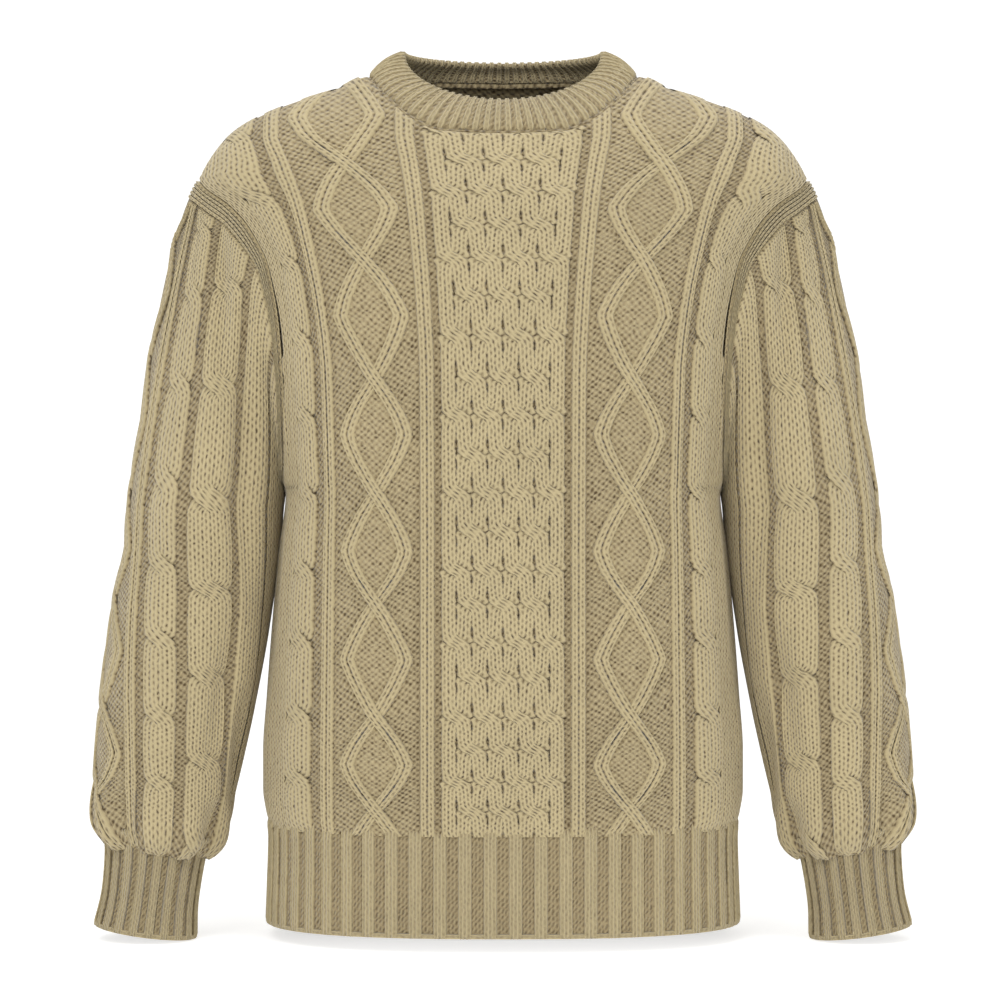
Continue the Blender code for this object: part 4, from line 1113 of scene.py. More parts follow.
class Neckband(FoldedRib):
    """The neckband: a is the angle round the neck in degrees, the edge is its rim."""

    def __init__(self, front, back):
        super().__init__(BAND_WALL, NECK_BAND_LENGTH, NECK_AROUND)
        points, normals = self.loop(front, back, NECK_STEPS_U)
        climb = rim_point(neck_turn(points)) - points
        band_out = unit(np.cross(along_loop(points), unit(climb)))
        band_out *= np.where(dot(band_out, normals) < 0, -1.0, 1.0)
        outward, _ = seam_directions(points, normals + band_out, climb)
        self.degrees, self.outward = self.ordered(neck_turn(points), outward)
        fine, _ = self.loop(front, back, NECK_FINE_U)
        self.fine_degrees, self.fine_points = self.ordered(neck_turn(fine), fine)

    def loop(self, front, back, us):
        """The neck seam from the right shoulder over the front to the left, and back, with normals."""
        over_front = np.concatenate([-us[:0:-1], us])
        over_back = np.concatenate([us[-2:0:-1], -us[:-1]])
        points, normals = [], []
        for panel, columns in ((front, over_front), (back, over_back)):
            spots = panel.base(columns, panel.top(columns))
            out = panel.normal(columns, panel.top(columns))
            corner = np.abs(columns) == NECK_HALF
            sides = np.sign(columns[corner])
            spots[corner, 1] = 0
            out[corner] = np.stack([NECK_OUT[0] * sides, 0 * sides, NECK_OUT[1] + 0 * sides], axis=1)
            points.append(spots)
            normals.append(unit(out))
        return np.concatenate(points), np.concatenate(normals)

    def ordered(self, degrees, rows):
        """Rows sorted by their angle, closed at the back."""
        order = np.argsort(degrees)
        degrees, rows = degrees[order], rows[order]
        ends = [degrees[-1:] - 360, degrees, degrees[:1] + 360]
        return np.concatenate(ends), np.concatenate([rows[-1:], rows, rows[:1]])

    def surface(self, degrees, away):
        """A point of the band's outer face, away from its rim."""
        degrees = (degrees + 180) % 360 - 180
        seam = read_rows(degrees, self.fine_degrees, self.fine_points)
        outward = unit(read_rows(degrees, self.degrees, self.outward))
        rim = rim_point(degrees)
        up = np.clip(1 - away / self.length, 0, 1)[..., None]
        return seam + (rim - seam) * up + outward * BAND_BULGE * np.sin(math.pi * up)

    def frame(self, a, away):
        away = np.broadcast_to(away, a.shape)
        held = np.clip(away, 0.04 * self.length, 0.96 * self.length)
        across = self.surface(a + 1, held) - self.surface(a - 1, held)
        inward = unit(self.surface(a, held + 0.3) - self.surface(a, held - 0.3))
        normal = unit(np.cross(across, -inward))
        return self.surface(a, away), normal, inward


# ---------------------------------------------------------------- wales of a cable pattern


ROWS = np.arange(FIRST_ROW, LAST_ROW, 1 / SAMPLES_A_ROW)


class Pattern:
    """Gathers the wales of a piece, laid out over a path that runs down its outer face."""

    def __init__(self, path, courses, rows=None):
        self.path, self.courses, self.rows = path, courses, rows
        self.wales = []
        self.number = 0

    def strand(self, centre, count, pitch, height, spread=1.0, floor=FOOT, step=0.35, crown=None):
        """Wales side by side, a small step down from each to the next, and down to the floor outside.

        A crown is the middle, the half width and the height of a cable that is rounded across.
        """
        floors = floor if isinstance(floor, tuple) else (floor, floor)
        middle, reach, drop = crown or (0, 1, 0)
        half = pitch / 2 * spread

        def crowned(a):
            return height - drop * np.minimum(((a - middle) / reach) ** 2, 1)

        for i in range(count):
            a = centre + (2 * i - count + 1) * half + 0 * self.path
            left = floors[0] if i == 0 else crowned(a - half) - step
            right = floors[1] if i == count - 1 else crowned(a + half) - step
            self.wales.append(Wale(a, self.path, half, crowned(a), left, right, self.number, self.courses))
            self.number += 1


def honeycomb_move(pair, row):
    """Where a pair goes at a row: 1 for right and over, -1 for left and under, 0 for straight on."""
    if (pair + 1 - row) % 2 == 0 and abs(pair + 1) <= 3:
        return 1
    if (pair - row) % 2 == 0 and abs(pair) <= 3:
        return -1
    return 0


def honeycomb(pattern):
    """Eight pairs of wales that cross two over two, at alternate pair edges from row to row.

    Next to each crossing, above and below the row, the edge that it doesn't cross opens to a slot.
    """
    rows = pattern.rows
    strand_rise = knit_size("strand_rise")
    for start in range(-4, 4):
        pair = start
        centre = np.full(rows.shape, (start + 0.5) * PAIR)
        lift, spread = np.zeros(rows.shape), np.ones(rows.shape)
        slots = {-1: np.zeros(rows.shape), 1: np.zeros(rows.shape)}
        closed = np.zeros(rows.shape)
        for k in range(-3, 20):
            move = honeycomb_move(pair, k)
            past = rows - k
            quick, slow = fade(past / QUICK_CROSS + 0.5), fade(past / SLOW_CROSS + 0.5)
            centre = centre + move * PAIR * (QUICK_SHARE * quick + (1 - QUICK_SHARE) * slow)
            lift += CROSS_LIFT[move] * bell(past / LIFT_REACH)
            spread += CROSS_SPREAD[move] * bell(past / SPREAD_REACH)
            closed += abs(move) * bell(past / CLOSE_REACH)
            away = np.abs(past)
            near = fade((away - SLOT_START) / SLOT_START) * fade((SLOT_END - away) / SLOT_FADE)
            above, below = near * (past < 0), SLOT_BELOW * near * (past > 0)
            openings = [(-move, above), (move, below)]
            if move == 0:
                openings = [(1 if pair < 0 else -1, above + below)]
            for side, opening in openings:
                slots[side] += opening
                spread -= SLOT_PINCH * opening
            pair += move
        edges = []
        for side in (-1, 1):
            edge = strand_rise - STRAND_STEP + lift - SLOT_DEPTH * np.minimum(slots[side], 1)
            outside = fade((side * centre - GUTTER_START * PAIR) / (GUTTER_SPAN * PAIR))
            edges.append(edge + (GUTTER - edge) * outside * (1 - np.minimum(closed, 1) * GUTTER_CLOSED))
        room = 2 * (4 * PAIR + 1 - np.abs(centre)) / PAIR
        spread = np.minimum(spread, room)
        pattern.strand(centre, 2, WALE, strand_rise + lift, spread, tuple(edges), INNER_STEP)


def diamonds(pattern, centre):
    """Two bands of two wales that cross every few rows."""
    rows = pattern.rows
    turn = np.floor(rows / DIAMOND_ROWS)
    offset = DIAMOND_SWING * wave(rows / DIAMOND_ROWS) * np.where(turn % 2 == 0, 1, -1)
    to_crossing = rows - np.round(rows / DIAMOND_ROWS) * DIAMOND_ROWS
    even = np.round(rows / DIAMOND_ROWS) % 2 == 0
    for band in (1, -1):
        over = even if band == 1 else ~even
        near = bell(to_crossing / BAND_LIFT_REACH)
        lift = near * np.where(over, OVER_RISE, -UNDER_DROP)
        floor = FOOT + np.maximum(lift, 0) * FLOOR_LIFT
        step = BAND_STEP * (1 - BAND_LEVEL * near)
        height = knit_size("band_rise") + lift
        pattern.strand(centre + band * offset, 2, WALE + BAND_WIDER, height, 1.0, floor, step)


def rope(pattern, centre, strand_wales, pitch, period, first):
    """Two strands that change places at every crossing, the one that moves right on top."""
    rows = pattern.rows
    half = strand_wales * pitch / 2
    crossings = [first + n * period for n in range(-6, 14)]
    for start in (-1, 1):
        side = start
        offset = np.full(rows.shape, half * start)
        lift, spread = np.zeros(rows.shape), np.ones(rows.shape)
        for k in crossings:
            past = rows - k
            offset = offset - side * 2 * half * fade(past / ROPE_CROSS + 0.5)
            lift += bell(past / ROPE_LIFT_REACH) * (OVER_RISE if side < 0 else -UNDER_DROP)
            spread += ROPE_SPREAD * bell(past / ROPE_SPREAD_REACH)
            side = -side
        swell = sum(hump((rows - k - period / 2) / (ROPE_SWELL_REACH * period)) for k in crossings)
        height = knit_size("rope_rise") + lift + ROPE_SWELL * swell
        outer = np.maximum(lift, 0) * FLOOR_LIFT + ROPE_FOOT
        inner = height - ROPE_INNER_STEP
        at_right = fade((offset / half + 1) / 2)
        floors = (outer + (inner - outer) * at_right, inner + (outer - inner) * at_right)
        crown = (centre, 2 * half, ROPE_CROWN)
        wide = 1 + ROPE_WIDEN * swell
        middle = centre + offset * wide
        pattern.strand(middle, strand_wales, pitch, height, spread * wide, floors, ROPE_STEP, crown)


def diamond_inside(across, rows):
    """True where moss stitch fills a diamond."""
    return np.abs(across) < DIAMOND_SWING * wave(rows / DIAMOND_ROWS) - 4


def cable_pattern():
    return Pattern(z_of_row(ROWS), ROWS * COURSES_A_ROW, ROWS)


def plain_strip(pattern, side, start, end, count):
    """Plain wales that fill the width from start to end on one side."""
    pitch = (end - start) / count
    rise = knit_size("plain_rise")
    for k in range(count):
        pattern.strand(side * (start + (k + 0.5) * pitch), 1, pitch, rise, floor=rise + FOOT)


def twin_cord(pattern, centre, pitch):
    """Two knit wales side by side with a deep line between them."""
    pattern.strand(centre, 2, pitch, knit_size("cord_rise"), step=LADDER_STEP)


def panel_pattern():
    """From each side in: plain wales, rope, cord, diamonds, cord, and the honeycomb between them."""
    pattern = cable_pattern()
    for side in (-1, 1):
        plain_strip(pattern, side, PLAIN_U, PANEL_HALF, PLAIN_WALES)
        rope(pattern, side * ROPE_U, 2, ROPE_PITCH, ROPE_ROWS, ROPE_FIRST)
        twin_cord(pattern, side * OUTER_CORD_U, WALE + CORD_WIDER)
        diamonds(pattern, side * DIAMOND_U)
        twin_cord(pattern, side * INNER_CORD_U, WALE)
    honeycomb(pattern)
    return pattern.wales


def sleeve_pattern():
    """Diamonds on the outer line, then cord, rope, wide cable and edge cord on each side of it."""
    pattern = cable_pattern()
    for side in (-1, 1):
        plain_strip(pattern, side, SLEEVE_PLAIN_W, SLEEVE_HALF, SLEEVE_PLAIN_WALES)
        pattern.strand(side * SLEEVE_EDGE_W, 4, WALE + EDGE_WIDER, knit_size("cord_rise"))
        rope(pattern, side * SLEEVE_CABLE_W, 3, SLEEVE_CABLE_PITCH, SLEEVE_CABLE_ROWS, SLEEVE_CABLE_FIRST)
        rope(pattern, side * SLEEVE_ROPE_W, 2, SLEEVE_ROPE_PITCH, SLEEVE_ROPE_ROWS, SLEEVE_ROPE_FIRST)
        twin_cord(pattern, side * SLEEVE_CORD_W, WALE + CORD_WIDER)
    diamonds(pattern, 0.0)
    return pattern.wales


def border_pattern(sleeve):
    """The wales that follow the armhole seam over the sleeve head."""
    a = np.linspace(-BORDER_END, BORDER_END, 300)
    w = a * -sleeve.left
    seam = read_rows(w, sleeve.fine_w, sleeve.fine_points)
    course = running(np.linalg.norm(np.diff(seam, axis=0), axis=1)) / COURSE
    width = border_at(np.abs(w)) / BORDER_WALES
    wales = []
    for k in range(BORDER_WALES):
        b = sleeve.top(w) - (k + 0.5) * width
        high = BORDER_RISE - BORDER_STEP
        low = FOOT if k == BORDER_WALES - 1 else high
        wales.append(EdgeCord(a, b, width / 2, BORDER_RISE, low, high, k, course))
    return wales


def rib_pattern(centres, wales, pitch, path, rise):
    """Ridges of knit wales side by side, with purl between them."""
    pattern = Pattern(path, np.arange(len(path)) * abs(path[1] - path[0]) / COURSE)
    for centre in centres:
        pattern.strand(centre, wales, pitch, rise)
    return pattern.wales


def path_down(start, end, step=2.4):
    """Even steps from start to end."""
    return np.linspace(start, end, int(abs(end - start) / step) + 2)


def grid_heights(low, floor, tops, rows):
    """Heights of a grid from the top down: rows that climb to the tops, then level rows."""
    climb = np.linspace(0, 1, rows)[:, None]
    level_rows = np.broadcast_to(low[:, None], (len(low), len(tops)))
    return np.concatenate([level_rows, floor + climb * (tops - floor)[None, :]])[::-1]


def panel_grid(panel):
    """Knit coordinates of a panel's shell: each column runs up to its own top edge."""
    shares = np.linspace(0, 1, int(PANEL_HALF / GRID_STEP) + 1)
    corner = NECK_HALF / ARMHOLE_HALF
    shares[np.argmin(np.abs(shares - corner))] = corner
    shares = np.concatenate([-shares[:0:-1], shares])
    low = np.linspace(HEM_SEAM_Z - HEM_LAP, UNDERARM_Z, int((UNDERARM_Z - HEM_SEAM_Z) / GRID_STEP) + 1)[:-1]
    tops = panel.top(shares * ARMHOLE_HALF)
    tops[[0, -1]] = SHOULDER_TIP_Z
    b = grid_heights(low, UNDERARM_Z, tops, PANEL_HEAD_ROWS)
    return shares[None, :] * panel_edge(b)[0], b


def make_panel(name, panel):
    """The front or the back: its ground with moss in the diamonds, and its cables."""
    a, b = panel_grid(panel)
    rows = row_at(b)
    uv = np.stack([a / WALE, rows * COURSES_A_ROW], axis=2)
    middle_a = (a[:-1, :-1] + a[1:, 1:]) / 2
    middle_row = (rows[:-1, :-1] + rows[1:, 1:]) / 2
    moss = diamond_inside(np.abs(middle_a) - DIAMOND_U, middle_row)
    rise = knit_size("moss_rise") * diamond_inside(np.abs(a) - DIAMOND_U, rows)
    shell = Knitting()
    outer = panel.place(a, b, rise)
    inner = panel.place(a, b, -WALL)
    # Painted shade on the ground: lighter in the diamond fields, darker in the gutters, darkest in the
    # honeycomb's slots.
    ground_shade_map = np.where(np.abs(np.abs(a) - DIAMOND_U) < FIELD_HALF, FIELD_SHADE_LEVEL, GUTTER_SHADE_LEVEL)
    ground_shade_map = np.where(np.abs(a) < 4 * PAIR - 2, SLOT_SHADE_LEVEL, ground_shade_map)
    knit_shell(shell, outer, inner, uv, np.where(moss, MOSS, PURL), False, ground_shade_map)
    return dress(name, shell, panel, panel_pattern())


def dress(name, shell, cloth, wales, border=(), kind=KNIT):
    """Makes a piece's ground from its shell, and its wales, in the place of its plain solid."""
    ground = shell.make(name)
    knitting = Knitting()
    for wale in wales:
        knit_wale(knitting, cloth, wale, kind)
    for under, wale in border:
        knit_wale(knitting, under, wale, kind)
    cables = knitting.make(name + "_wales")
    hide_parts(name)
    return ground, cables


def make_sleeve(name, sleeve):
    """A sleeve: its ground with moss in the diamonds, its cables and the border of its head."""
    ws = np.linspace(-SLEEVE_HALF, SLEEVE_HALF, SLEEVE_COLUMNS + 1)[:-1]
    low = np.linspace(CUFF_SEAM_Z, TUBE_TOP_Z, SLEEVE_ROWS + 1)[:-1]
    b = grid_heights(low, TUBE_TOP_Z, sleeve.top(ws * -sleeve.left), SLEEVE_HEAD_ROWS)
    a = np.broadcast_to(ws[None, :], b.shape)
    shell = Knitting()
    around = np.append(ws, SLEEVE_HALF)
    rows = row_at(np.hstack([b, b[:, :1]])) * COURSES_A_ROW
    uv = np.stack([np.broadcast_to(around / WALE, rows.shape), rows], axis=2)
    moss = diamond_inside(a, row_at(b))
    outer = sleeve.place(a, b, knit_size("moss_rise") * moss)
    inner = sleeve.place(a, b, np.full(b.shape, -WALL))
    kinds = np.where(moss, MOSS, PURL)[:-1]
    # Painted shade on the ground: lighter in the diamond field, darker in the gutters.
    ground_shade_map = np.where(np.abs(a) < FIELD_HALF, FIELD_SHADE_LEVEL, GUTTER_SHADE_LEVEL)
    knit_shell(shell, outer, inner, uv, kinds, True, ground_shade_map)
    border = [(sleeve, wale) for wale in border_pattern(sleeve)]
    return dress(name, shell, BelowBorder(sleeve), sleeve_pattern(), border)


def make_rib(name, rib, columns, closed, wales, edge_up=False):
    """The ground of a folded rib and its wales. Rows run from its seam, or from its rim when that is up."""
    deep = np.linspace(rib.length, rib.quarter, int(rib.length / 4))
    out_b = np.concatenate([deep, [rib.quarter * 0.5, rib.quarter * 0.05]])
    out_b = out_b[::-1] if edge_up else out_b
    points = columns[:-1] if closed else columns
    a = np.broadcast_to(points[None, :], (len(out_b), len(points)))
    b = np.broadcast_to(out_b[:, None], a.shape)
    scale = WALE * (columns[-1] - columns[0]) / rib.around
    across, down = np.meshgrid(columns / scale, out_b * (1 if edge_up else -1) / COURSE)
    flat = np.zeros(a.shape)
    outer, inner = rib.place(a, b, flat), rib.place(a, -b, flat)
    shell = Knitting()
    # The ground between the ribs gets the darkest painted shade.
    knit_shell(shell, outer, inner, np.stack([across, down], axis=2), VALLEY, closed, 0.0)
    return dress(name, shell, rib, wales, kind=RIB)


def make_hem(name, panel):
    """The hem of one panel: ribs of uneven length under the panel, wider apart in the middle."""
    rib = HemRib(panel)
    shares = (np.arange(HEM_RIBS) + 0.5) / HEM_RIBS * 2 - 1
    centres = PANEL_HALF * crowded(shares)
    period = 2 * PANEL_HALF / HEM_RIBS * (1 + HEM_CROWDING * (1 - 3 * shares**2))
    pitches = period / 2 * (RIB_SHARE + RIB_SHARE_ADDED * shares**2)
    wales = []
    for i, (centre, pitch) in enumerate(zip(centres, pitches, strict=True)):
        start = rib.length + rib.overlap * (0.4 + 0.6 * abs(math.sin(RAGGED * i)))
        path = path_down(start, -RIB_TURN_IN)
        rise = knit_size("rib_rise") * fade((start - path) / RIB_OVERLAP)
        wales += rib_pattern([centre], 2, pitch, path, rise)
    wales.append(cast_on_edge(np.linspace(-PANEL_HALF, PANEL_HALF, 240)))
    columns = PANEL_HALF * np.linspace(-1, 1, 97)
    return make_rib(name, rib, columns, False, wales)


def cast_on_edge(a):
    """The cord of the first course, which runs along a rib's edge and closes its valleys."""
    course = (a - a[0]) / COURSE
    b = np.full(a.shape, CAST_ON_HALF)
    return EdgeCord(a, b, CAST_ON_HALF, CAST_ON_RISE, CAST_ON_FOOT, CAST_ON_FOOT, 0, course)


def crowded(shares):
    """Shares of a half width, spread out in the middle and crowded to the sides."""
    return shares * (1 + HEM_CROWDING * (1 - shares**2))


def make_cuff(name, sleeve):
    """The cuff of one sleeve, with ribs that run on under the sleeve."""
    rib = Cuff(sleeve)
    pitch = 2 * SLEEVE_HALF / CUFF_RIBS
    centres = (np.arange(CUFF_RIBS) + 0.5) * pitch - SLEEVE_HALF
    path = path_down(rib.length + rib.overlap, -RIB_TURN_IN)
    wales = rib_pattern(centres, 2, pitch / 2 * CUFF_RIB_SHARE, path, knit_size("rib_rise"))
    wales.append(cast_on_edge(np.linspace(-SLEEVE_HALF, SLEEVE_HALF, 160)))
    return make_rib(name, rib, np.linspace(-SLEEVE_HALF, SLEEVE_HALF, 81), True, wales)


def make_neckband(name, band):
    """The neckband, its ribs and the ridge inside its seam."""
    pitch = 360 / NECK_RIBS
    centres = (np.arange(NECK_RIBS) + 0.5) * pitch - 180
    path = path_down(-band.length, band.length)
    wales = rib_pattern(centres, 1, pitch * NECK_RIB_SHARE, path, knit_size("neck_rib_rise"))
    ground, ribs = make_rib(name, band, np.linspace(-180, 180, 161), True, wales, edge_up=True)
    return ground, ribs, seam_ridge(name + "_seam", band)


def seam_ridge(name, band):
    """The ridge of picked up stitches on the inside of the neck seam."""
    degrees = np.linspace(-180, 180, 181)
    seam, _, inward = band.frame(degrees[:-1], np.full(180, band.length))
    outward = unit(read_rows(degrees[:-1], band.degrees, band.outward))
    middle = seam - outward * RIDGE_RADIUS
    turns = np.linspace(0, 2 * math.pi, 9)
    circle = [
        middle + (outward * math.cos(turn) + inward * math.sin(turn)) * RIDGE_RADIUS for turn in turns[:-1]
    ]
    around = np.stack([*circle, circle[0]], axis=0)
    uv = np.stack(np.meshgrid(degrees / 4, turns / math.pi), axis=2)
    ridge = Knitting()
    # The ridge is given a painted shade of 0.4.
    ridge.grid(around, 0.4, uv, PURL, closed=True, flipped=True)
    piece = ridge.make(name)
    return piece


# ---------------------------------------------------------------- materials


def linear(code):
    """An sRGB hex value as linear colour."""
    values = [int(code[i : i + 2], 16) / 255 for i in (1, 3, 5)]
    return tuple(v / 12.92 if v <= 0.04045 else ((v + 0.055) / 1.055) ** 2.4 for v in values)


def add_node(tree, kind, inputs=(), **settings):
    """Adds a node with its settings, and links or sets its inputs by place or by name."""
    node = tree.nodes.new(kind)
    for name, value in settings.items():
        setattr(node, name, value)
    pairs = inputs.items() if isinstance(inputs, dict) else enumerate(inputs)
    for key, value in pairs:
        if isinstance(value, bpy.types.Node):
            value = value.outputs[0]
        if isinstance(value, bpy.types.NodeSocket):
            tree.links.new(value, node.inputs[key])
        elif value is not None:
            node.inputs[key].default_value = value
    return node


MATH = "ShaderNodeMath"
VECTOR = "ShaderNodeVectorMath"
NOISE = "ShaderNodeTexNoise"
HALF_GREY = (0.5, 0.5, 0.5)


def stitch_coordinates(tree):
    """The wale and the course that a point lies in, with fractions."""
    stitches = add_node(tree, "ShaderNodeUVMap", uv_map="knit")
    uneven = add_node(tree, NOISE, {"Vector": stitches, "Scale": 0.9, "Detail": 1.0})
    pull = add_node(tree, VECTOR, [uneven.outputs["Color"], HALF_GREY], operation="SUBTRACT")
    share = add_node(tree, VECTOR, [pull, UNEVEN], operation="MULTIPLY")
    moved = add_node(tree, VECTOR, [stitches, share], operation="ADD")
    split = add_node(tree, "ShaderNodeSeparateXYZ", [moved])
    return split.outputs[0], split.outputs[1]


def cosine(tree, turns):
    """The cosine of a number of whole turns."""
    angle = add_node(tree, MATH, [turns, 2 * math.pi], operation="MULTIPLY")
    return add_node(tree, MATH, [angle], operation="COSINE")


def knit_face_height(tree, wale, course):
    """Slanting legs, with upright slits down the middle and the edges of a wale, by turns."""
    across, along = cosine(tree, wale), cosine(tree, course)
    square = add_node(tree, MATH, [across, across], operation="MULTIPLY")
    cube = add_node(tree, MATH, [square, across], operation="MULTIPLY")
    both = add_node(tree, MATH, [across, 1.4, along], operation="MULTIPLY_ADD")
    slit = add_node(tree, MATH, [cube, both], operation="MULTIPLY")
    edge = add_node(tree, MATH, [across, 0.04, 0.36], operation="MULTIPLY_ADD")
    dark = add_node(tree, MATH, [slit, edge], operation="MULTIPLY")
    return add_node(tree, MATH, [1.0, dark], operation="SUBTRACT")


def rib_face_height(tree, wale, course):
    """Legs stretched nearly upright: two fine ridges to a wale, with faint stitches."""
    double = add_node(tree, MATH, [wale, 2.0], operation="MULTIPLY")
    upright = add_node(tree, MATH, [cosine(tree, double), -0.36, 0.8], operation="MULTIPLY_ADD")
    lattice = add_node(tree, MATH, [cosine(tree, wale), cosine(tree, course)], operation="MULTIPLY")
    return add_node(tree, MATH, [lattice, -0.16, upright], operation="MULTIPLY_ADD")


def valley_face_height(tree, wale, course):
    """Purl between ribs: short slanting loops, two columns of them to a wale."""
    double = add_node(tree, MATH, [wale, 2.0], operation="MULTIPLY")
    column = add_node(tree, MATH, [cosine(tree, double), -0.25, 0.3], operation="MULTIPLY_ADD")
    slanting = add_node(tree, MATH, [wale, 1.5, course], operation="MULTIPLY_ADD")
    dash = add_node(tree, MATH, [cosine(tree, slanting), 0.3, 0.35], operation="MULTIPLY_ADD")
    return add_node(tree, MATH, [column, dash], operation="ADD")


def purl_face_height(tree, wale, course):
    """Low loops that lean a little, each over the gap between two loops of the row below."""
    leaning = add_node(tree, MATH, [wale, 0.3, course], operation="MULTIPLY_ADD")
    lattice = add_node(tree, MATH, [cosine(tree, wale), cosine(tree, leaning)], operation="MULTIPLY")
    return add_node(tree, MATH, [lattice, 0.5, 0.5], operation="MULTIPLY_ADD")


def moss_face_height(tree, wale, course):
    """Seeds close together, each over the gap between two seeds of the course below."""
    lattice = add_node(tree, MATH, [cosine(tree, wale), cosine(tree, course)], operation="MULTIPLY")
    return add_node(tree, MATH, [lattice, -0.45, 0.5], operation="MULTIPLY_ADD")


def wool(name, face_height, depth, floor):
    """Carded wool, spun thick and knitted: matt, a little fuzzy, with painted shade in the hollows between
    stitches and wherever the rise attribute marks that light can't reach.
    """
    material = bpy.data.materials.get(name)
    if material is not None:
        return material
    material = bpy.data.materials.new(name)
    material.use_nodes = True
    tree = material.node_tree
    yarn = bpy.context.scene.sweater_yarn
    shader = tree.nodes["Principled BSDF"]
    wale, course = stitch_coordinates(tree)
    height = face_height(tree, wale, course)
    rise = add_node(tree, "ShaderNodeAttribute", attribute_name="rise")
    place = add_node(tree, "ShaderNodeTexCoord")
    spot = place.outputs["Object"]
    fuzz = add_node(tree, NOISE, {"Vector": spot, "Scale": FIBRES, "Detail": 3.0})
    patches = add_node(tree, NOISE, {"Vector": spot, "Scale": PATCHES, "Detail": 2.0})
    tension = add_node(tree, NOISE, {"Vector": spot, "Scale": STITCHES, "Detail": 2.0})
    tightness = add_node(tree, MATH, [tension, 1.6, 0.2], operation="MULTIPLY_ADD")
    # Painted shade in the stitch hollows: the lower the stitch height, the darker the colour, down to floor
    # at the deepest.
    painted_shade = add_node(tree, MATH, [1.0, height], operation="SUBTRACT")
    deep = add_node(tree, MATH, [painted_shade, tightness], operation="MULTIPLY")
    stitch_shaded = add_node(tree, MATH, [deep, floor - 1, 1.0], operation="MULTIPLY_ADD")
    # Painted shade from the rise attribute: darker at wale edges, in gutters and slots, and inside.
    painted_shade_factor = add_node(tree, MATH, [rise.outputs["Fac"], 0.4, 0.6], operation="MULTIPLY_ADD")
    painted_lightness = add_node(tree, MATH, [stitch_shaded, painted_shade_factor], operation="MULTIPLY")
    fibre = add_node(tree, MATH, [fuzz, 0.35, -0.17], operation="MULTIPLY_ADD")
    tone = add_node(tree, MATH, [painted_lightness, fibre], operation="ADD")
    shades = add_node(tree, "ShaderNodeValToRGB", [tone])
    ramp = shades.color_ramp
    ramp.elements[0].position, ramp.elements[0].color = 0.05, (*yarn.hollow_shade, 1)
    ramp.elements[1].position, ramp.elements[1].color = 0.95, (*yarn.ridge, 1)
    middle = ramp.elements.new(0.5)
    middle.color = (*yarn.middle, 1)
    drift = add_node(tree, MATH, [patches, 0.16, 0.92], operation="MULTIPLY_ADD")
    varied = add_node(
        tree, "ShaderNodeHueSaturation", {"Hue": 0.5, "Saturation": 1.0, "Value": drift, "Color": shades}
    )
    tree.links.new(varied.outputs[0], shader.inputs["Base Color"])
    rough = add_node(tree, MATH, [fuzz, 0.25, height], operation="MULTIPLY_ADD")
    bump = add_node(tree, "ShaderNodeBump", {"Strength": 1.0, "Distance": depth * MM, "Height": rough})
    tree.links.new(bump.outputs[0], shader.inputs["Normal"])
    shader.inputs["Roughness"].default_value = 0.92
    shader.inputs["Sheen Weight"].default_value = 0.25
    shader.inputs["Sheen Roughness"].default_value = 0.6
    shader.inputs["Specular IOR Level"].default_value = 0.2
    return material


def wool_knit_face():
    """Knit side of the stitch: legs in full colour, with painted shade in the dots between them."""
    return wool("wool_knit_face", knit_face_height, 1.2, 0.1)


def wool_purl_face():
    """Purl side of the stitch: short bumps across the cloth, with painted shade between the bumps and,
    through the ground's rise attribute, between the cables.
    """
    return wool("wool_purl_face", purl_face_height, 1.5, 0.15)


def wool_moss_face():
    """Moss stitch: knit and purl by turns, an even field of seeds."""
    return wool("wool_moss_face", moss_face_height, 1.3, 0.2)


def wool_rib_valley():
    """Purl between two ribs: slanting dashes, with painted shade."""
    return wool("wool_rib_valley", valley_face_height, 1.1, 0.3)


def wool_rib_face():
    """Ribbing: fine upright lines of stretched stitches."""
    return wool("wool_rib_face", rib_face_height, 1.4, 0.3)


def paper_white():
    """Matt background paper that glows with painted light, more at the front, so that shadows on it stay
    pale.
    """
    material = bpy.data.materials.new("paper_white")
    material.use_nodes = True
    tree = material.node_tree
    shader = tree.nodes["Principled BSDF"]
    place = add_node(tree, "ShaderNodeTexCoord")
    grain = add_node(tree, NOISE, {"Vector": place.outputs["Object"], "Scale": 3.0})
    tint = add_node(tree, "ShaderNodeMix", {0: grain}, data_type="RGBA")
    tint.inputs[6].default_value = (*linear("#BEBEBD"), 1)
    tint.inputs[7].default_value = (*linear("#C2C2C1"), 1)
    tree.links.new(tint.outputs[2], shader.inputs["Base Color"])
    shader.inputs["Roughness"].default_value = 0.9
    shader.inputs["Emission Color"].default_value = (1, 1, 1, 1)
    # Painted light: the paper's emission fades from stronger at the front to weaker behind, lifting the
    # shadow under the sweater.
    depth = add_node(tree, "ShaderNodeSeparateXYZ", [place.outputs["Object"]])
    span = [depth.outputs[1], GLOW_FRONT_Y, GLOW_BACK_Y, PAPER_GLOW_FRONT, PAPER_GLOW]
    glow = add_node(tree, "ShaderNodeMapRange", span)
    tree.links.new(glow.outputs[0], shader.inputs["Emission Strength"])
    return material


# ---------------------------------------------------------------- settings


def length_setting(name, description, millimetres):
    """A length in the sidebar, with its default given in millimetres."""
    default = millimetres * MM
    return FloatProperty(name=name, description=description, default=default, unit="LENGTH", precision=4)


def colour_setting(name, description, code):
    """A colour in the sidebar, with its default given as an sRGB hex value."""
    return FloatVectorProperty(name=name, description=description, default=linear(code), subtype="COLOR")


def power_setting(name, description, watts):
    """A light's power in the sidebar."""
    return FloatProperty(name=name, description=description, default=watts, unit="POWER")


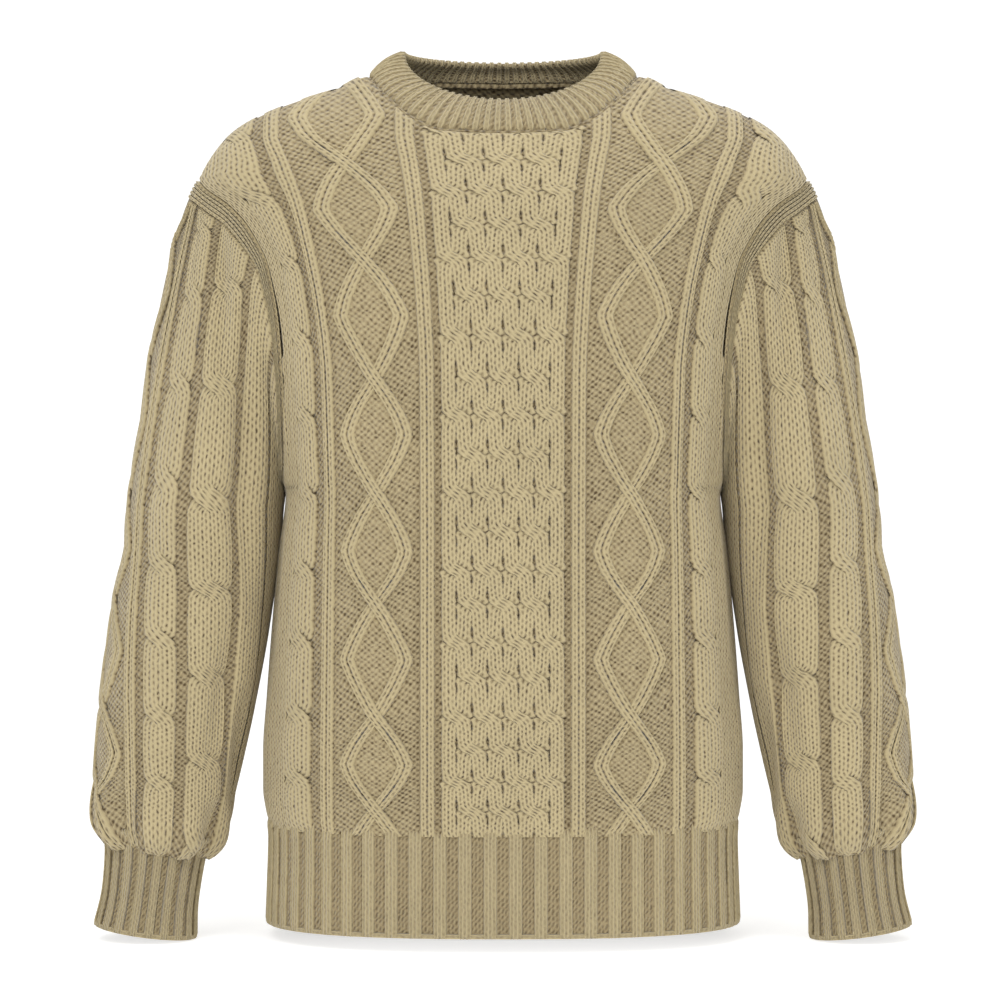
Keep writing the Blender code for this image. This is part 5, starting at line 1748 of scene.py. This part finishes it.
class SweaterKnit(bpy.types.PropertyGroup):
    """How far the knitting stands out of its ground, and how loose the sleeve's end is."""

    cord_rise: length_setting("Cords", "Height of the twin cords over the ground", 2.6)
    strand_rise: length_setting("Honeycomb", "Height of the honeycomb's pairs over the ground", 3.0)
    band_rise: length_setting("Diamonds", "Height of the diamonds' bands over the ground", 3.0)
    rope_rise: length_setting("Ropes", "Height of the ropes over the ground", 3.4)
    plain_rise: length_setting("Plain wales", "Height of the plain wales over the ground", 1.5)
    moss_rise: length_setting("Moss stitch", "Height of the moss stitch over the ground", 1.0)
    rib_rise: length_setting("Ribs", "Height of the hem's and cuffs' ribs", 2.4)
    neck_rib_rise: length_setting("Neck ribs", "Height of the neckband's ribs", 1.4)
    pucker_depth: length_setting("Puckers", "Depth of the puckers over the cuff", 3.2)
    sleeve_droop: length_setting("Sleeve droop", "How far the sleeve hangs over the cuff", 10.0)


class SweaterYarn(bpy.types.PropertyGroup):
    """The wool's colours, from the lightest to the darkest; the darkest is painted shade deep between
    stitches.
    """

    ridge: colour_setting("Ridge", "Wool where it stands out", "#B3A47E")
    middle: colour_setting("Middle", "Wool between ridge and hollow", "#9A8A68")
    # Painted shade: the colour given to the wool deep between stitches, where light doesn't reach.
    hollow_shade: colour_setting("Hollow", "Wool deep between stitches", "#503F22")


class SweaterStage(bpy.types.PropertyGroup):
    """The floor's place, the lights and the camera's distance."""

    floor_drop: length_setting("Floor drop", "Gap from the cuffs down to the floor", 1.0)
    key_power: power_setting("Key light", "Power of the key light", 24.0)
    fill_power: power_setting("Fill light", "Power of the fill light", 8.5)
    top_power: power_setting("Top light", "Power of the top light", 20.0)
    sky: FloatProperty(name="Room light", description="Strength of the light all round", default=0.63)
    view_distance: length_setting("View distance", "From the camera to the sweater's middle", 2500.0)


def knit_size(name):
    """A size from the knitting settings, in millimetres."""
    return getattr(bpy.context.scene.sweater_knit, name) / MM


# ---------------------------------------------------------------- operators


def panel_flat_area(panel):
    """Flat area of a panel's cut, in square metres."""
    zs = np.linspace(HEM_SEAM_Z, SHOULDER_TIP_Z, 500)
    body = 2 * panel_edge(zs)[0].mean() * (SHOULDER_TIP_Z - HEM_SEAM_Z)
    us = np.linspace(-ARMHOLE_HALF, ARMHOLE_HALF, 500)
    top = (panel.top(us) - SHOULDER_TIP_Z).mean() * 2 * ARMHOLE_HALF
    return (body + top) * MM * MM


class SWEATER_OT_panels(bpy.types.Operator):
    """Knit the front and the back."""

    bl_idname = "sweater.panels"
    bl_label = "Knit front and back"

    def execute(self, context):
        for name, panel in (("front_panel", Panel(-1)), ("back_panel", Panel(1))):
            ground, cables = make_panel(name, panel)
            panel_flat_area(panel)
        return {"FINISHED"}


class SWEATER_OT_sleeves(bpy.types.Operator):
    """Knit both sleeves."""

    bl_idname = "sweater.sleeves"
    bl_label = "Knit sleeves"

    def execute(self, context):
        front, back = Panel(-1), Panel(1)
        for word, left in (("left", 1), ("right", -1)):
            sleeve = Sleeve(left, front, back)
            ground, cables = make_sleeve(f"sleeve_{word}", sleeve)
            lengths = sleeve.top(np.linspace(-SLEEVE_HALF, SLEEVE_HALF, 200)) - CUFF_SEAM_Z
        return {"FINISHED"}


class SWEATER_OT_ribs(bpy.types.Operator):
    """Knit the neckband, the hem ribs and the cuffs."""

    bl_idname = "sweater.ribs"
    bl_label = "Knit ribs"

    def execute(self, context):
        front, back = Panel(-1), Panel(1)
        made = [(make_neckband("neckband", Neckband(front, back)), NECK_AROUND, NECK_BAND_LENGTH)]
        for name, panel in (("hem_rib_front", front), ("hem_rib_back", back)):
            made.append((make_hem(name, panel), 2 * PANEL_HALF, HEM_SEAM_Z - HEM_Z))
        for word, left in (("left", 1), ("right", -1)):
            cuff = make_cuff(f"cuff_{word}", Sleeve(left, front, back))
            made.append((cuff, CUFF_AROUND, CUFF_LENGTH))
        for (ground, *others), width, length in made:
            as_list(others)
        return {"FINISHED"}


class SWEATER_OT_stage(bpy.types.Operator):
    """Set the floor, the lights and the camera."""

    bl_idname = "sweater.stage"
    bl_label = "Set the stage"

    def execute(self, context):
        settings = context.scene.sweater_stage
        make_floor(CAD_BOX[0][2] - settings.floor_drop)
        make_lights(settings)
        make_camera(settings.view_distance)
        context.scene.view_settings.view_transform = "Standard"
        return {"FINISHED"}


def make_floor(z):
    """A paper sweep, in metres: flat floor, a bend, and a wall behind."""
    bend, back, width, front = 0.8, 4.2, 4.0, -4.0
    turn = [math.radians(90 * i / 16) for i in range(17)]
    profile = [(front, z)] + [(back + bend * math.sin(t), z + bend * (1 - math.cos(t))) for t in turn]
    profile.append((back + bend, z + 4.0))
    work = bmesh.new()
    sides = [[work.verts.new((x, y, h)) for y, h in profile] for x in (-width, width)]
    for i in range(len(profile) - 1):
        work.faces.new([sides[0][i], sides[1][i], sides[1][i + 1], sides[0][i + 1]])
    mesh = bpy.data.meshes.new("paper_sweep")
    work.to_mesh(mesh)
    work.free()
    mesh.shade_smooth()
    mesh.materials.append(paper_white())
    sweep = bpy.data.objects.new("paper_sweep", mesh)
    bpy.context.scene.collection.objects.link(sweep)


Light = namedtuple("Light", "name place size power")


def make_lights(settings):
    """Soft boxes: a key high in front to the left, a fill to the right, and one over the top."""
    boxes = (
        Light("key_light", (-0.8, -1.9, 1.5), 1.2, settings.key_power),
        Light("fill_light", (1.6, -2.0, 0.4), 1.6, settings.fill_power),
        Light("top_light", (0.0, 0.0, 1.9), 1.6, settings.top_power),
    )
    middle = Vector((0, 0, EYE[1]))
    for box in boxes:
        light = bpy.data.lights.new(box.name, "AREA")
        light.shape = "DISK"
        light.size = box.size
        light.energy = box.power
        lamp = bpy.data.objects.new(box.name, light)
        lamp.location = box.place
        toward = middle - Vector(box.place)
        lamp.rotation_euler = toward.to_track_quat("-Z", "Y").to_euler()
        bpy.context.scene.collection.objects.link(lamp)
    world = bpy.data.worlds.new("soft_room")
    bpy.context.scene.world = world
    world.use_nodes = True
    background = world.node_tree.nodes["Background"]
    background.inputs["Color"].default_value = (1, 1, 1, 1)
    background.inputs["Strength"].default_value = settings.sky


def make_camera(distance):
    """Level with the middle of the sweater, straight in front of it."""
    camera = bpy.data.cameras.new("front_camera")
    camera.sensor_width = SENSOR
    camera.lens = SENSOR * distance / FRAME_WIDTH
    eye = bpy.data.objects.new("front_camera", camera)
    eye.location = (EYE[0], -distance, EYE[1])
    eye.rotation_euler = (math.radians(90), 0, 0)
    bpy.context.scene.collection.objects.link(eye)
    bpy.context.scene.camera = eye


class SWEATER_PT_knitting(bpy.types.Panel):
    """The sweater's settings, and a button for each step."""

    bl_idname = "SWEATER_PT_knitting"
    bl_label = "Cable knit sweater"
    bl_space_type = "VIEW_3D"
    bl_region_type = "UI"
    bl_category = "Knitwear"

    def draw(self, context):
        for setting in SETTINGS:
            group = getattr(context.scene, setting)
            box = self.layout.box()
            for name in group.__annotations__:
                box.prop(group, name)
        for operator in OPERATORS:
            self.layout.operator(operator.bl_idname)


SETTINGS = {"sweater_knit": SweaterKnit, "sweater_yarn": SweaterYarn, "sweater_stage": SweaterStage}
OPERATORS = (SWEATER_OT_stage, SWEATER_OT_panels, SWEATER_OT_sleeves, SWEATER_OT_ribs)
CLASSES = (*SETTINGS.values(), *OPERATORS, SWEATER_PT_knitting)


def register():
    for cls in CLASSES:
        bpy.utils.register_class(cls)
    for name, group in SETTINGS.items():
        setattr(bpy.types.Scene, name, PointerProperty(type=group))


def unregister():
    for name in SETTINGS:
        delattr(bpy.types.Scene, name)
    for cls in reversed(CLASSES):
        bpy.utils.unregister_class(cls)


def main():
    register()
    bpy.ops.sweater.stage()
    bpy.ops.sweater.panels()
    bpy.ops.sweater.sleeves()
    bpy.ops.sweater.ribs()


if __name__ == "__main__":
    main()
